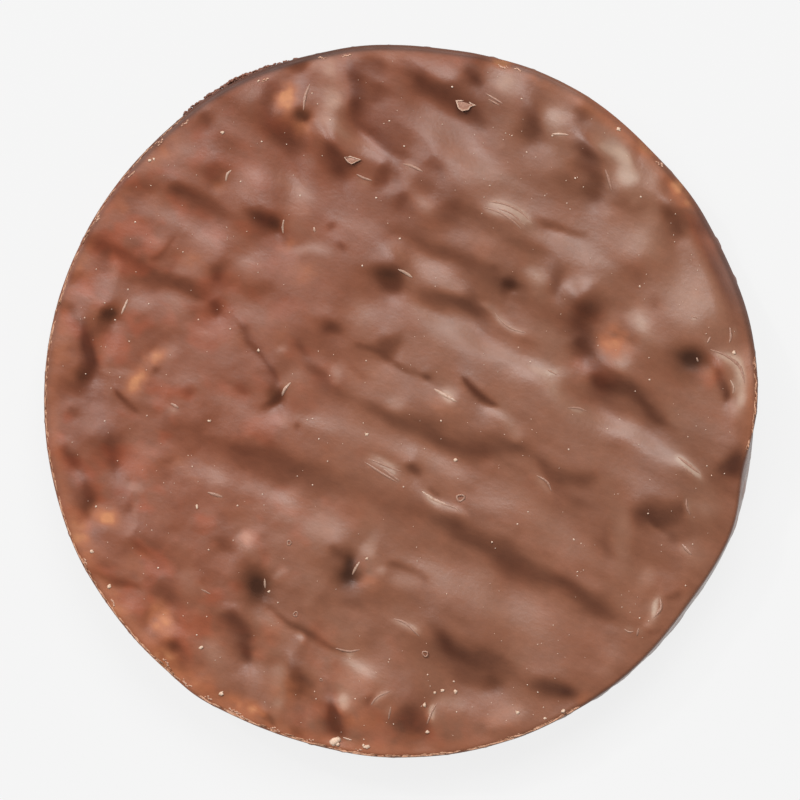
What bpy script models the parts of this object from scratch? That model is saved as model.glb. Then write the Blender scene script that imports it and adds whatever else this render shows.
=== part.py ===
"""A round puffed rice cake coated all over in milk chocolate, as one solid.

Metres, +Z up. The cake lies flat on z = 0 with its middle on the Z axis. The tables of the coat's
relief are in millimetres, seen from above with +X to the right and +Y away, and MM turns them into metres.
"""

import math

import bpy
import numpy as np

MM = 0.001

# Driving dimensions
RADIUS = 44.7  # the cake's mean outline
TOP = 8.25  # mean height of the coated top
CROWN = 0.4  # how much higher the middle of the top is than its rim
RIM = 0.9  # radius of the round between the top and the wall
FOOT = 0.8  # radius of the round between the wall and the flat foot
BULGE = 0.25  # how far the wall swells at half height

# Facets
RINGS = 30  # rings of facets from the middle of the top out to its rim
RIM_STEPS = 3
WALL_STEPS = 4
SIDES = 6 * RINGS  # facets round the wall
SHARP = math.radians(50)  # edges at least this sharp aren't smoothed

# Finish
CHOCOLATE = (0.29, 0.107, 0.062, 1)
SATIN = 0.42

# The coat ran across the top along one bearing while it was soft, and its waves lie along it. A flank
# of a wave with a positive slope faces the second bearing, and one with a negative slope faces away from it.
FLOW = math.radians(-27)
FACING = math.radians(120)

# Flanks of the waves in the coat: half width, slope, then the points their middle line passes through
FLANKS = [
    (2.0, 0.45, (-9.5, 44), (-10, 38), (-8, 33.5), (-3, 30.5)),
    (3.2, 0.35, (-2, 40), (1, 34.5), (6, 31), (12, 27.5)),
    (1.5, 0.40, (10.5, 24.6), (13.5, 23.5), (16, 22)),
    (1.8, 0.30, (16, 21), (20, 20.5), (25, 18), (30, 17)),
    (2.0, 0.45, (-2.5, 20.2), (3, 18), (8, 15), (12, 11), (18, 7.5)),
    (2.8, 0.45, (1.5, 11), (8, 8), (15, 4.5), (21, 0.5), (28, -3.5), (36, -8.5)),
    (2.0, 0.30, (-31.5, 24.2), (-27, 22.5), (-22, 20.5), (-17.5, 18.5)),
    (2.6, 0.35, (-34, -4), (-28, -8.5), (-21, -12), (-13, -13.5), (-5, -16), (2, -20), (10, -25)),
    (2.2, 0.40, (-14, -2.5), (-8, -3.5), (-3, -6.5), (0, -9.5)),
    (2.6, 0.30, (2, -7), (8, -9.5), (14, -13), (21, -17), (27, -20)),
    (1.8, -0.60, (-34.5, 28), (-30, 27), (-25, 25), (-20, 23), (-15.5, 21.5)),
    (1.4, -0.50, (-39, 20), (-34.5, 17.5), (-30, 15.3), (-25, 13.7), (-22.5, 12)),
    (1.8, -0.50, (-24, 34.5), (-19, 32.5), (-13, 30), (-8, 28.5)),
    (1.5, -0.50, (-6, 43), (-6.3, 38), (-4.5, 34.5), (-1, 31.3)),
    (1.8, -0.70, (1, 14.6), (6, 13), (11, 10.3), (16, 6.5), (20, 4.5)),
    (2.0, -0.75, (20, 5), (25, 3), (29, 0), (33.5, -2.7)),
    (2.2, -0.50, (-33, -1.5), (-27, -4.2), (-21, -6.3), (-15, -8.3), (-8, -10), (0, -12.7)),
    (2.0, -0.75, (0, -12.7), (6, -16.5), (13, -20), (20, -23), (27, -27)),
    (1.8, -0.50, (-11, 4.5), (-8.5, 0.5), (-3, -2.5), (4, -4.6), (9, -5.6), (14.5, -6)),
    (2.0, -0.70, (0, -24.5), (4, -28), (7, -32), (12, -35.2)),
]
FLANK_SPREAD = 1.3  # a flank fades sideways over this many half widths
FLANK_FADE = 2.2  # and at its ends over this many half widths
LONGEST_FADE = 0.45  # but over no more than this share of its length
FADE_START = 0.25  # how far through its fade a flank already is at its first and last points
LINE_STEP = 0.9  # distance between the points of a flank's middle line

# Grains that stand up under the coat: x, y, half size across, half size along, turn in degrees, rise
GRAINS = [
    (14, 38.7, 2.4, 2.2, 0, 0.9),
    (20.2, 33.8, 2.4, 2.4, 0, 0.9),
    (30, 28, 4.0, 3.0, -50, 1.2),
    (36.5, 25, 2.0, 2.6, 0, 0.7),
    (38, 12.5, 5.0, 4.5, 0, 0.9),
    (31, 8.6, 2.0, 3.0, 20, 0.9),
    (16.8, 14.8, 1.8, 3.0, 15, 0.8),
    (28, 4.8, 2.4, 4.0, 20, 0.6),
    (37, -1.5, 3.6, 3.0, 0, 0.5),
    (39.5, -14.5, 3.0, 3.5, 0, 0.6),
    (31.5, -23.5, 2.6, 2.6, 0, 0.6),
    (26.5, -33.5, 3.0, 2.6, 0, 0.6),
    (14.5, -40.2, 3.2, 2.4, 0, 0.6),
    (7, -39.8, 2.8, 2.6, 0, 0.7),
    (-6.2, -38.5, 1.8, 3.4, 10, 0.8),
    (-22.2, -31, 2.6, 3.2, 0, 0.6),
    (-18, 26.5, 3.0, 2.6, 0, 0.5),
    (-25.8, 29, 2.2, 4.6, 0, 0.5),
    (-28, 11.5, 2.6, 2.2, 0, 0.5),
    (-38, 11.8, 2.2, 2.4, 0, 0.5),
]

# Hollows between grains: x, y, half size across, half size along, turn in degrees, depth
HOLLOWS = [
    (36.3, 5, 2.3, 2.0, 0, 2.6),
    (-18, -23, 1.9, 2.3, 20, 2.4),
    (-6.5, -21.6, 1.5, 1.7, 0, 1.8),
    (-15.6, 21.5, 1.9, 1.2, -30, 1.6),
    (-1.4, 15.6, 2.6, 1.2, -12, 1.5),
    (-36, 10.6, 2.0, 1.3, 0, 1.5),
    (-15.4, 0.2, 1.2, 1.3, 0, 1.3),
    (23.2, 10.3, 2.4, 1.6, 0, 1.5),
    (13.6, 13.8, 1.5, 1.0, 0, 1.2),
    (12, -35.2, 1.8, 1.6, 0, 1.2),
    (20.6, -36, 2.2, 1.3, -30, 1.1),
    (32.5, -14.2, 3.0, 1.7, 0, 1.1),
    (24.6, 27, 2.2, 3.6, 15, 1.5),
    (-13.5, 38.3, 2.4, 3.8, -10, 1.2),
    (-39.3, -13.8, 1.4, 2.4, 0, 0.9),
    (-28.3, -30.5, 1.2, 1.3, 0, 0.9),
]

HOLLOW_FIRMNESS = 1.3  # over 1 makes a hollow's floor flatter and its sides steeper

# Swells of the outline, and of the rim of the top alone: angle in degrees, half width in degrees, rise
OUTLINE_SWELLS = [(15, 9, 0.2), (45, 8, -0.3), (83, 10, -0.35), (120, 9, 0.3), (205, 8, 0.15)]
OUTLINE_SWELLS += [(235, 5, 0.3), (253, 11, -0.25), (312, 10, 0.25), (338, 11, 0.45)]
RIM_SWELLS = [(349, 7, -1.3), (325, 24, -0.8)]

# Unevenness with no pattern: cell along the flow, cell across it, height
RELIEF_NOISE = [(9, 5, 0.2), (5, 2.8, 0.1)]
NOISE_CELLS = 64  # cells each way before the unevenness repeats
SEED = 11

# Grains that press through the coat round the wall. Each pair is the least and the most.
WALL_GRAINS = 34
WALL_GRAIN_SHIFT = (-0.35, 0.35)  # out of even spacing, as a share of the spacing
WALL_GRAIN_MIDDLE = (0.3, 0.7)  # height of its middle, as a share of the top's height
WALL_GRAIN_HALF_LENGTH = (2.2, 3.4)
WALL_GRAIN_HALF_HEIGHT = (1.3, 2.2)
WALL_GRAIN_RISE = (0.15, 0.45)


def gradient_noise(x, y, cell_x, cell_y, random):
    """Smooth unevenness between -1 and 1 with lumps of about the size of a cell."""
    count = NOISE_CELLS
    values = random.uniform(-1, 1, (count, count))
    column = np.floor(x / cell_x).astype(int)
    row = np.floor(y / cell_y).astype(int)
    across = x / cell_x - column
    along = y / cell_y - row
    across = across * across * (3 - 2 * across)
    along = along * along * (3 - 2 * along)
    column_after = (column + 1) % count
    row_after = (row + 1) % count
    column %= count
    row %= count
    near = values[column, row] * (1 - across) + values[column_after, row] * across
    far = values[column, row_after] * (1 - across) + values[column_after, row_after] * across
    return near * (1 - along) + far * along


def smooth_step(value):
    value = np.clip(value, 0, 1)
    return value * value * (3 - 2 * value)


def curve_through(points):
    """Points about a step apart along a smooth curve through the given points."""
    knots = [np.array(point, float) for point in points]
    knots = [2 * knots[0] - knots[1]] + knots + [2 * knots[-1] - knots[-2]]
    line = []
    for before, start, end, after in zip(knots, knots[1:], knots[2:], knots[3:]):
        count = max(2, int(np.linalg.norm(end - start) / LINE_STEP))
        for index in range(count):
            t = index / count
            bend = (2 * before - 5 * start + 4 * end - after) * t * t
            twist = (3 * start - before - 3 * end + after) * t * t * t
            line.append(0.5 * (2 * start + (end - before) * t + bend + twist))
    line.append(knots[-2])
    return np.array(line)


def flank(x, y, half_width, slope, points):
    """One sloping band of the coat, as a height that fades out on both sides and at both ends."""
    line = curve_through(points)
    chord = line[-1] - line[0]
    side = 1 if chord[0] * math.sin(FACING) > chord[1] * math.cos(FACING) else -1
    nearest = np.full(x.shape, np.inf)
    across = np.zeros(x.shape)
    along = np.zeros(x.shape)
    done = 0.0
    for start, end in zip(line, line[1:]):
        run = end - start
        length = np.linalg.norm(run)
        t = np.clip(((x - start[0]) * run[0] + (y - start[1]) * run[1]) / length**2, 0, 1)
        gap = (x - start[0] - t * run[0]) ** 2 + (y - start[1] - t * run[1]) ** 2
        offset = ((y - start[1]) * run[0] - (x - start[0]) * run[1]) * side / length
        closer = gap < nearest
        nearest = np.where(closer, gap, nearest)
        across = np.where(closer, offset, across)
        along = np.where(closer, done + t * length, along)
        done += length
    fade = min(LONGEST_FADE * done, FLANK_FADE * half_width)
    ends = smooth_step(along / fade + FADE_START) * smooth_step((done - along) / fade + FADE_START)
    return -slope * ends * across * np.exp(-nearest / (FLANK_SPREAD * half_width) ** 2)


def bump(x, y, middle_x, middle_y, half_x, half_y, turn, rise, firmness=1.0):
    """A round or oval swelling."""
    cosine = math.cos(math.radians(turn))
    sine = math.sin(math.radians(turn))
    u = ((x - middle_x) * cosine + (y - middle_y) * sine) / half_x
    v = ((y - middle_y) * cosine - (x - middle_x) * sine) / half_y
    return rise * np.exp(-((u * u + v * v) ** firmness))


def coat_relief(x, y):
    """How far the coat stands above or below the smooth top, over places in millimetres."""
    random = np.random.default_rng(SEED)
    height = np.zeros(x.shape)
    for half_width, slope, *points in FLANKS:
        height += flank(x, y, half_width, slope, points)
    for grain in GRAINS:
        height += bump(x, y, *grain)
    for hollow in HOLLOWS:
        height -= bump(x, y, *hollow, firmness=HOLLOW_FIRMNESS)
    along = x * math.cos(FLOW) + y * math.sin(FLOW)
    across = y * math.cos(FLOW) - x * math.sin(FLOW)
    for cell_along, cell_across, rise in RELIEF_NOISE:
        height += rise * gradient_noise(along, across, cell_along, cell_across, random)
    return height


def swells(angle, table):
    """The sum of the table's swells at each angle, in millimetres."""
    total = np.zeros(angle.shape)
    for middle, half_width, rise in table:
        turn = (np.degrees(angle) - middle + 180) % 360 - 180
        total += rise * np.exp(-((turn / half_width) ** 2))
    return total


def outline(angle):
    """The cake's radius at the foot of its wall."""
    return RADIUS + swells(angle, OUTLINE_SWELLS)


def rim(angle):
    """The radius at which the top ends and the round of the rim begins."""
    return outline(angle) - RIM + swells(angle, RIM_SWELLS)


def wall_relief(angle, height):
    """Grains pressing through the coat round the wall, each longer round the wall than it is high."""
    random = np.random.default_rng(SEED + 1)
    total = np.zeros(angle.shape)
    for index in range(WALL_GRAINS):
        middle = 2 * math.pi * (index + random.uniform(*WALL_GRAIN_SHIFT)) / WALL_GRAINS
        middle_height = random.uniform(*WALL_GRAIN_MIDDLE) * TOP
        half_length = random.uniform(*WALL_GRAIN_HALF_LENGTH)
        half_height = random.uniform(*WALL_GRAIN_HALF_HEIGHT)
        rise = random.uniform(*WALL_GRAIN_RISE)
        turn = (angle - middle + math.pi) % (2 * math.pi) - math.pi
        reach = (turn * RADIUS / half_length) ** 2 + ((height - middle_height) / half_height) ** 2
        total += rise * np.exp(-reach)
    return total


def cake_rings():
    """Rings of points in millimetres, from the middle of the top, over the rim and down to the foot."""
    rings = [np.array([[0.0, 0.0, 0.0]])]
    for ring in range(1, RINGS + 1):
        angle = 2 * math.pi * np.arange(6 * ring) / (6 * ring)
        radius = rim(angle) * ring / RINGS
        rings.append(np.column_stack([radius * np.cos(angle), radius * np.sin(angle), np.zeros(angle.size)]))
    for points in rings:
        distance = np.hypot(points[:, 0], points[:, 1]) / RADIUS
        points[:, 2] = TOP + CROWN * (1 - distance**2) + coat_relief(points[:, 0], points[:, 1])
    angle = 2 * math.pi * np.arange(SIDES) / SIDES
    edge = rings[-1][:, 2]
    for step in range(1, RIM_STEPS + 1):
        turn = math.pi / 2 * step / RIM_STEPS
        radius = rim(angle) + RIM * math.sin(turn)
        rings.append(side_ring(angle, radius, edge - RIM * (1 - math.cos(turn))))
    for step in range(1, WALL_STEPS + 1):
        part = step / WALL_STEPS
        height = (edge - RIM) * (1 - part) + FOOT * part
        radius = (rim(angle) + RIM) * (1 - part) + outline(angle) * part
        radius += BULGE * math.sin(math.pi * part) + wall_relief(angle, height)
        rings.append(side_ring(angle, radius, height))
    rings.append(side_ring(angle, outline(angle) - FOOT, np.zeros(SIDES)))
    return rings


def side_ring(angle, radius, height):
    return np.column_stack([radius * np.cos(angle), radius * np.sin(angle), height])


def cake_faces():
    """The faces between the rings: a fan of triangles on top, four-sided faces down the wall, and a foot."""
    last = RINGS + RIM_STEPS + WALL_STEPS + 1
    counts = [1] + [6 * ring for ring in range(1, RINGS + 1)] + [SIDES] * (last - RINGS)
    first = [sum(counts[:ring]) for ring in range(last + 1)]
    faces = []
    for ring in range(1, RINGS + 1):
        for corner in range(6 * ring):
            sector, place = divmod(corner, ring)
            inner_count = max(1, 6 * (ring - 1))
            inner = first[ring - 1] + (sector * (ring - 1) + place) % inner_count
            next_inner = first[ring - 1] + (sector * (ring - 1) + place + 1) % inner_count
            outer = first[ring] + corner
            next_outer = first[ring] + (corner + 1) % (6 * ring)
            faces.append((inner, outer, next_outer))
            if place < ring - 1:
                faces.append((inner, next_outer, next_inner))
    for ring in range(RINGS, last):
        for corner in range(SIDES):
            following = (corner + 1) % SIDES
            upper = first[ring]
            lower = first[ring + 1]
            faces.append((upper + corner, lower + corner, lower + following, upper + following))
    faces.append(tuple(first[last] + corner for corner in reversed(range(SIDES))))
    return faces


def milk_chocolate():
    """The coat's material."""
    material = bpy.data.materials.new("milk_chocolate")
    material.use_nodes = True
    shader = material.node_tree.nodes["Principled BSDF"]
    shader.inputs["Base Color"].default_value = CHOCOLATE
    shader.inputs["Roughness"].default_value = SATIN
    return material


def coated_rice_cake():
    """The cake, moved so that its box is centred on the Z axis and it stands on z = 0."""
    points = np.vstack(cake_rings())
    points[:, :2] -= (points[:, :2].max(axis=0) + points[:, :2].min(axis=0)) / 2
    mesh = bpy.data.meshes.new("coated_rice_cake")
    mesh.from_pydata((points * MM).tolist(), [], cake_faces())
    mesh.shade_smooth()
    mesh.set_sharp_from_angle(angle=SHARP)
    mesh.materials.append(milk_chocolate())
    cake = bpy.data.objects.new("coated_rice_cake", mesh)
    bpy.context.collection.objects.link(cake)
    return cake


for old in list(bpy.data.objects):
    bpy.data.objects.remove(old)
coated_rice_cake()
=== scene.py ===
"""A round puffed rice cake coated in milk chocolate, seen from straight above on a pale floor.

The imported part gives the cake's place and size, and the fine mesh made here stands for its one solid. Lengths are
in millimetres until a mesh is made, with +X to the right and +Y up the picture, and MM turns them into metres.
"""

import math

import bmesh
import bpy
import numpy as np
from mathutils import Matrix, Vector


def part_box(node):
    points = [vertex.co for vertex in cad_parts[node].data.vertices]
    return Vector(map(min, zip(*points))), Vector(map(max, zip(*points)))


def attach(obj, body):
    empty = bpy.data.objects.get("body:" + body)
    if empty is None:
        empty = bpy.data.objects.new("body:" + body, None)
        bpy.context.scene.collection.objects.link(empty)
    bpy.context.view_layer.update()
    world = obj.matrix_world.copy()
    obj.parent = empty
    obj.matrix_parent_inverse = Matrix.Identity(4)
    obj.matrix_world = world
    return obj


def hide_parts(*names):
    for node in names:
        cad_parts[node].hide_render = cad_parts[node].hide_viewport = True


MM = 0.001
NODE = "coated_rice_cake"

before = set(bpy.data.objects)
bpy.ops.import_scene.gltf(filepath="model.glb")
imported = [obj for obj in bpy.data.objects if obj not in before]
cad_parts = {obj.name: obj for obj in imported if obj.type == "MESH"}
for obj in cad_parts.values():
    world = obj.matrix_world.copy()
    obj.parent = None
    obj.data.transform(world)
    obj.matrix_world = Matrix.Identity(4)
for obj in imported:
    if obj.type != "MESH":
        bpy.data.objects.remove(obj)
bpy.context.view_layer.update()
LOW, HIGH = (np.array(corner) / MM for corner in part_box(NODE))

# ---------------------------------------------------------------- sizes
RADIUS = 44.7  # the cake's mean outline
TOP = 8.1  # mean height of the coated top
CROWN = 0.4  # how much higher the middle of the top is than its rim
RIM = 0.6  # radius of the round between the top and the wall
FOOT = 0.8  # radius of the round between the wall and the foot
BULGE = 0.25  # how far the wall swells at half height

# ---------------------------------------------------------------- tables of the coat's relief
# Bands of the coat that fall towards the light (positive) or away from it (negative), each also painted lighter or
# darker in the coat's colour as painted light and shade: strength, half width, and the points that the band's middle
# line passes through
BANDS = [
    # upper left
    (-0.9, 0.9, (-25.3, 29.0), (-23.6, 28.9), (-22.8, 27.9), (-22.7, 26.2)),
    (0.5, 1.3, (-26.5, 34), (-27, 31), (-27, 28)),
    (-0.4, 1.0, (-34.8, 27.9), (-32, 27.2), (-30, 26.8)),
    (-0.85, 0.8, (-30, 27), (-28, 26.1), (-25.5, 25.1), (-23, 24.1), (-20.8, 23.6)),
    (-1.0, 1.0, (-19.5, 23.2), (-17.3, 22.9), (-15.8, 21.9), (-14.9, 20.6)),
    (-0.6, 0.7, (-25, 36), (-24.1, 34.8), (-23.2, 33.7)),
    (-0.3, 0.9, (-23.5, 33.7), (-21, 32.5), (-19, 31.8)),
    (-0.6, 1.2, (-18.3, 35.2), (-16, 34.2), (-14.2, 31.9), (-12.3, 29)),
    (0.5, 1.2, (-19, 40.2), (-18.6, 38.5), (-18.6, 37)),
    (-0.35, 0.35, (-31.8, 16.9), (-30, 18), (-28, 20.6)),
    (-0.55, 0.9, (-40, 20.5), (-37.5, 19.5), (-35.2, 17.9), (-33.3, 16.3)),
    (-0.7, 0.9, (-34.5, 17.2), (-32, 15.6), (-29, 15), (-26.5, 14.4), (-25, 13.4), (-24.2, 12.2)),
    (0.35, 1.6, (-33, 23.8), (-29, 22.4), (-25.5, 20.5)),
    (0.6, 1.2, (-17, 29.5), (-14, 27), (-10.5, 25)),
    # upper middle
    (0.7, 1.2, (-11.8, 43), (-10.8, 40.8)),
    (1.3, 1.5, (-9, 44.5), (-9.2, 41), (-9.3, 38), (-9.5, 35.5), (-8.2, 33.5), (-6, 32), (-4, 31), (-1.8, 30.4)),
    (-0.55, 0.85, (-6.2, 44), (-6.4, 40), (-6.2, 37.2), (-5.2, 34.8), (-3.2, 32.8), (-0.6, 31.2), (1.8, 30.2)),
    (-0.4, 1.2, (-3.6, 39.5), (-3.8, 37.5)),
    (0.7, 2.2, (0.5, 37.5), (2.5, 35), (5, 32.8), (8, 31), (12, 28.6), (15.5, 27)),
    (-0.45, 1.0, (-5.2, 43.2), (-3.4, 41.7), (-1.5, 40.4)),
    (-0.9, 1.0, (0.3, 40.8), (2.5, 40), (4.8, 38.8), (7, 37.2), (9.5, 35.8), (11.2, 34)),
    (0.6, 1.0, (1.8, 42.5), (4, 41.3), (7.3, 39.6)),
    (-0.9, 0.9, (7.5, 43.2), (8.6, 41.4), (9.6, 39.8), (10, 38.6)),
    (-1.1, 1.1, (-10, 32.8), (-8.5, 31), (-7.7, 29.2), (-7.1, 27.2)),
    (-0.9, 0.9, (-3.8, 28.7), (-1.2, 27.9)),
    (-0.5, 0.7, (3, 29.6), (4.8, 29.3), (5.2, 28)),
    (-0.5, 1.2, (-3.5, 26.2), (2, 23.3), (6, 22.4), (8.5, 21)),
    (-0.3, 1.2, (5.6, 25.2), (7.4, 22)),
    (0.8, 0.9, (10.3, 24.6), (13, 24.1), (15.5, 22.7), (16.4, 21.5)),
    (0.9, 0.8, (-14.5, 18.7), (-12, 19.1), (-10.5, 18.3), (-8.8, 17.2)),
    (-1.2, 0.9, (-3.8, 15.9), (-1.8, 15.9), (0.6, 15.3)),
    (-0.8, 1.1, (1.5, 14.5), (4, 13), (8, 12), (10, 10.4), (12, 8.5), (15, 7), (18.5, 5.3)),
    (0.9, 1.1, (-2.2, 20.3), (-0.8, 18.8), (1, 17.3)),
    (0.7, 1.3, (0.5, 17.8), (2.5, 16.8), (6, 15), (9.3, 12.6)),
    (-0.4, 1.2, (-4, 21), (0, 20.7), (4, 19.3), (8, 17.4), (12, 14.6), (14.5, 12.6)),
    (0.3, 1.3, (-9, 23.4), (-5, 21.6), (-2.5, 20.4)),
    (-1.0, 0.8, (12.6, 14.1), (14.3, 13.7)),
    (0.8, 1.2, (15.9, 17.6), (16.6, 15.5), (16.8, 13.8)),
    # upper right
    (0.9, 1.4, (19.6, 37.2), (19.3, 35.2), (20.2, 33.8)),
    (-0.9, 1.25, (14.6, 37), (15.8, 34.8), (16.4, 32.8), (17, 30.6)),
    (-0.5, 0.8, (22.4, 38.2), (22.7, 35.8), (22.6, 34)),
    (-0.7, 1.0, (21.8, 33), (22.4, 31.7), (22.9, 29.7), (23.8, 28), (24.8, 26.3)),
    (-0.6, 1.3, (20.6, 29.8), (21.6, 27.6)),
    (-0.45, 0.9, (25.6, 25.2), (28, 24.7), (30.6, 24.1)),
    (1.9, 0.95, (23.6, 33.4), (24.8, 32), (26.5, 31), (28.6, 29.6)),
    (1.1, 1.3, (26.6, 29.6), (28.2, 28.3), (29.6, 27)),
    (-0.6, 0.6, (28.2, 33.4), (29, 31.9), (30, 30.3)),
    (-0.6, 0.7, (33.5, 29), (33.3, 27), (33, 25.5)),
    (1.0, 0.9, (34.9, 28), (35.1, 26), (36, 24.4)),
    (-0.7, 1.1, (31.6, 24.2), (33.2, 23.7), (34.2, 22), (34.2, 19.4)),
    (0.8, 0.5, (39.6, 20.5), (40.6, 18.7)),
    (0.7, 1.1, (14.6, 21.6), (18, 20.9), (20.5, 20), (23, 18.8), (26.5, 17.4)),
    (-0.55, 0.6, (16.7, 23.4), (18.6, 22.7), (20.5, 21.8)),
    (-0.4, 0.4, (19.3, 22.3), (21.5, 21.3), (23.5, 20.6)),
    (-0.5, 1.0, (25.6, 16), (28, 15.4), (31, 14.5)),
    (-0.6, 0.8, (18.9, 18.2), (19.4, 15.6), (19.6, 13.2)),
    (-0.3, 0.8, (12.5, 20.6), (16, 19.6), (19, 18.3)),
    # middle left
    (-1.1, 1.0, (-38, 11), (-36.4, 10.7), (-35.2, 10.4)),
    (0.5, 1.5, (-33.6, 14), (-32.3, 10.6)),
    (-1.0, 0.75, (-24, 13), (-23.8, 11.6), (-23.4, 10.4)),
    (0.4, 1.2, (-22.3, 12.1), (-20, 11.2), (-17, 10), (-13.7, 9.4)),
    (-0.55, 0.5, (-20.8, 9.7), (-18.8, 7.8), (-17.3, 5.8), (-16, 3.5), (-15.3, 1.8)),
    (-1.3, 1.1, (-16.2, 1.2), (-15.2, -0.3)),
    (-1.1, 0.75, (-39.8, 9.5), (-39.2, 7.5), (-38.9, 5.6), (-39.4, 4.1), (-40.4, 2.2)),
    (0.8, 1.1, (-37.6, 8.6), (-37.2, 6.4), (-37, 5)),
    (0.5, 0.6, (-38.2, 4.4), (-37, 4.7), (-35, 4), (-33.5, 3), (-32, 1), (-30, 0), (-28, -0.9)),
    (-0.5, 0.5, (-31.2, 4.2), (-30.4, 3.0)),
    (-0.9, 0.6, (-35.4, 2.4), (-34.1, 0.4), (-33.4, -0.8), (-32.3, -2.3)),
    (-0.4, 1.3, (-31, -3), (-27, -4), (-24, -5), (-20, -6.3), (-16, -7.8), (-12, -9), (-6, -10.2), (-1, -11.4)),
    (0.3, 1.5, (-28.5, 2.7), (-24, 1.5), (-20, -1.5), (-14.5, -3.6)),
    (0.4, 1.3, (-35, -4), (-33, -5.5), (-28, -8), (-23, -9.6), (-18, -11.2), (-12, -12.7)),
    (0.9, 0.7, (-34.6, -10.2), (-33.2, -10.8), (-31.8, -11.7)),
    (-0.7, 0.8, (-37, -4.2), (-36.4, -6), (-35.6, -8.8)),
    (-0.7, 0.65, (-42.5, -4.8), (-41.3, -6.8), (-39.8, -8.4)),
    (-0.4, 0.7, (-41.5, -1), (-40, -2.7)),
    (-0.95, 0.9, (-39.6, -9.4), (-39.3, -12), (-39, -15.6)),
    (0.5, 1.2, (-25, -10), (-21.5, -9.6)),
    # middle
    (0.8, 0.6, (10, 12.4), (11.5, 11.5), (12.5, 10.2), (14, 9), (15.9, 8.4)),
    (0.8, 2.0, (2, 11.4), (4, 9.8), (8, 7.8), (12.5, 6), (17, 4), (20.5, 1.6)),
    (-0.7, 1.2, (-2.5, 8.6), (-1.7, 6.9), (-0.4, 5.7)),
    (0.8, 0.9, (-9.4, 4.4), (-7.4, 2.6)),
    (-0.5, 0.9, (-11.7, 5.6), (-10.2, 2.6), (-8, 0.8), (-5.4, -0.4)),
    (-0.6, 0.35, (-6.3, 4.4), (-3.7, 2.1)),
    (-0.4, 0.4, (-6, 7.5), (-3, 6), (0, 4), (2.5, 2.9), (4, 1.9)),
    (0.6, 0.7, (-2.6, 1.1), (0.2, -0.8)),
    (1.3, 0.5, (3.9, 1.7), (5.5, 0.8), (7.3, -0.2)),
    (-1.2, 0.5, (6.8, 2.9), (8.3, 1.4), (9.8, 0.1), (12.2, -1.1)),
    (0.8, 0.9, (9.4, -0.4), (12, -2), (14, -3.5), (15.1, -4.9)),
    (-0.55, 1.1, (-6, -0.6), (-2, -1.9), (3, -3.7), (6, -5), (9, -5.7), (12, -5.5), (14.5, -6.2), (17, -7.5)),
    (0.5, 1.4, (-14, -2), (-10, -2.5), (-6, -4), (-2, -5.5), (0, -6.1), (3, -7), (6, -8.5), (9.5, -10.2)),
    (1.0, 0.8, (-4.4, -7.2), (-2, -8.5), (-0.3, -10)),
    (-1.1, 0.6, (0.2, -8), (1.5, -8.6), (2.6, -9.9)),
    (-0.8, 0.5, (3.3, -10.7), (5.7, -12.1)),
    (1.1, 0.55, (2.2, -11.1), (4, -12.2), (6.5, -13.2), (8.3, -14.4)),
    (0.4, 1.8, (9, -12), (14, -12.3), (18, -14.5), (23, -17.5)),
    # middle right
    (-1.0, 1.3, (22, 9), (22.8, 7), (23.8, 5)),
    (1.0, 1.2, (28.8, 12.3), (29.8, 9.8), (30.3, 8.2)),
    (-0.5, 0.7, (27.4, 11), (28.3, 8), (30.2, 6.8)),
    (0.6, 1.3, (26.4, 8.3), (26.8, 6), (27.7, 3.4)),
    (-1.2, 1.15, (24, 5.6), (24.8, 3.6), (26.4, 1.9), (29, 0.3), (31.5, -1.3), (34.3, -3.2)),
    (0.75, 1.3, (15.5, 5.3), (19, 2), (21, -0.3), (23, -1.7), (26, -3.2), (30, -4.9), (34, -7.2), (37.8, -10)),
    (0.9, 0.5, (34.4, -7.1), (37.4, -9.6)),
    (-1.0, 0.6, (38.6, 4.2), (39.6, 3), (40.5, 1.6), (40.8, -0.2)),
    (1.6, 0.95, (38.5, 6.4), (40.6, 5.4), (42.3, 4), (42.8, 1.5), (42.2, -1.8)),
    (-1.2, 1.3, (40.6, -5.8), (41.6, -7.8), (42.2, -10.2)),
    (-0.9, 1.25, (35, -13.2), (33, -14.4), (30.9, -14.8), (31.2, -16.3)),
    (0.45, 1.4, (38.2, -11.3), (38.2, -15.4)),
    (-0.6, 0.8, (16.3, -7.2), (17.8, -8.2), (19.6, -9.5), (22.5, -10.1), (24.8, -9.8)),
    # lower left
    (0.5, 0.5, (-33, -12.3), (-33, -15), (-34.4, -17.2)),
    (-0.5, 0.4, (-32.2, -13.5), (-33.3, -16.6)),
    (-0.4, 0.5, (-33.5, -17.4), (-30.8, -19.4)),
    (0.8, 1.3, (-28.2, -21), (-26.8, -22.4), (-24.6, -23.8)),
    (-0.7, 0.45, (-38.8, -20.9), (-37, -22), (-34.5, -23), (-32.4, -23.7)),
    (-0.6, 1.1, (-31.4, -22.4), (-30.2, -24.3), (-28, -26.2)),
    (-0.4, 0.5, (-31.8, -25.8), (-31.8, -28.7)),
    (0.5, 1.1, (-30.4, -26.3), (-30, -28.7)),
    (-1.0, 0.8, (-30, -29.2), (-28.6, -30.7), (-27.4, -33), (-26.2, -35.2)),
    (0.7, 1.5, (-23.7, -28.7), (-23.2, -31.5), (-22.4, -34.3)),
    (-1.0, 0.8, (-23.4, -26.7), (-21.3, -27.4), (-19.9, -28.8), (-18.9, -31), (-18.8, -33.6)),
    (0.35, 1.0, (-22, -25.6), (-17.5, -27), (-14, -29.2)),
    (0.6, 0.8, (-16, -20.5), (-15.2, -22)),
    (1.0, 0.65, (-20.7, -17.2), (-19.2, -17.1), (-18.1, -18.7)),
    (-0.5, 0.35, (-17.0, -25.4), (-15, -26.7), (-12, -28.8), (-10, -30), (-6.7, -31.5)),
    (0.8, 0.9, (-14.4, -31.7), (-14.8, -35), (-15.6, -39.3)),
    (-0.9, 0.9, (-13.2, -31.6), (-12.5, -34), (-12.5, -38.3)),
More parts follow.
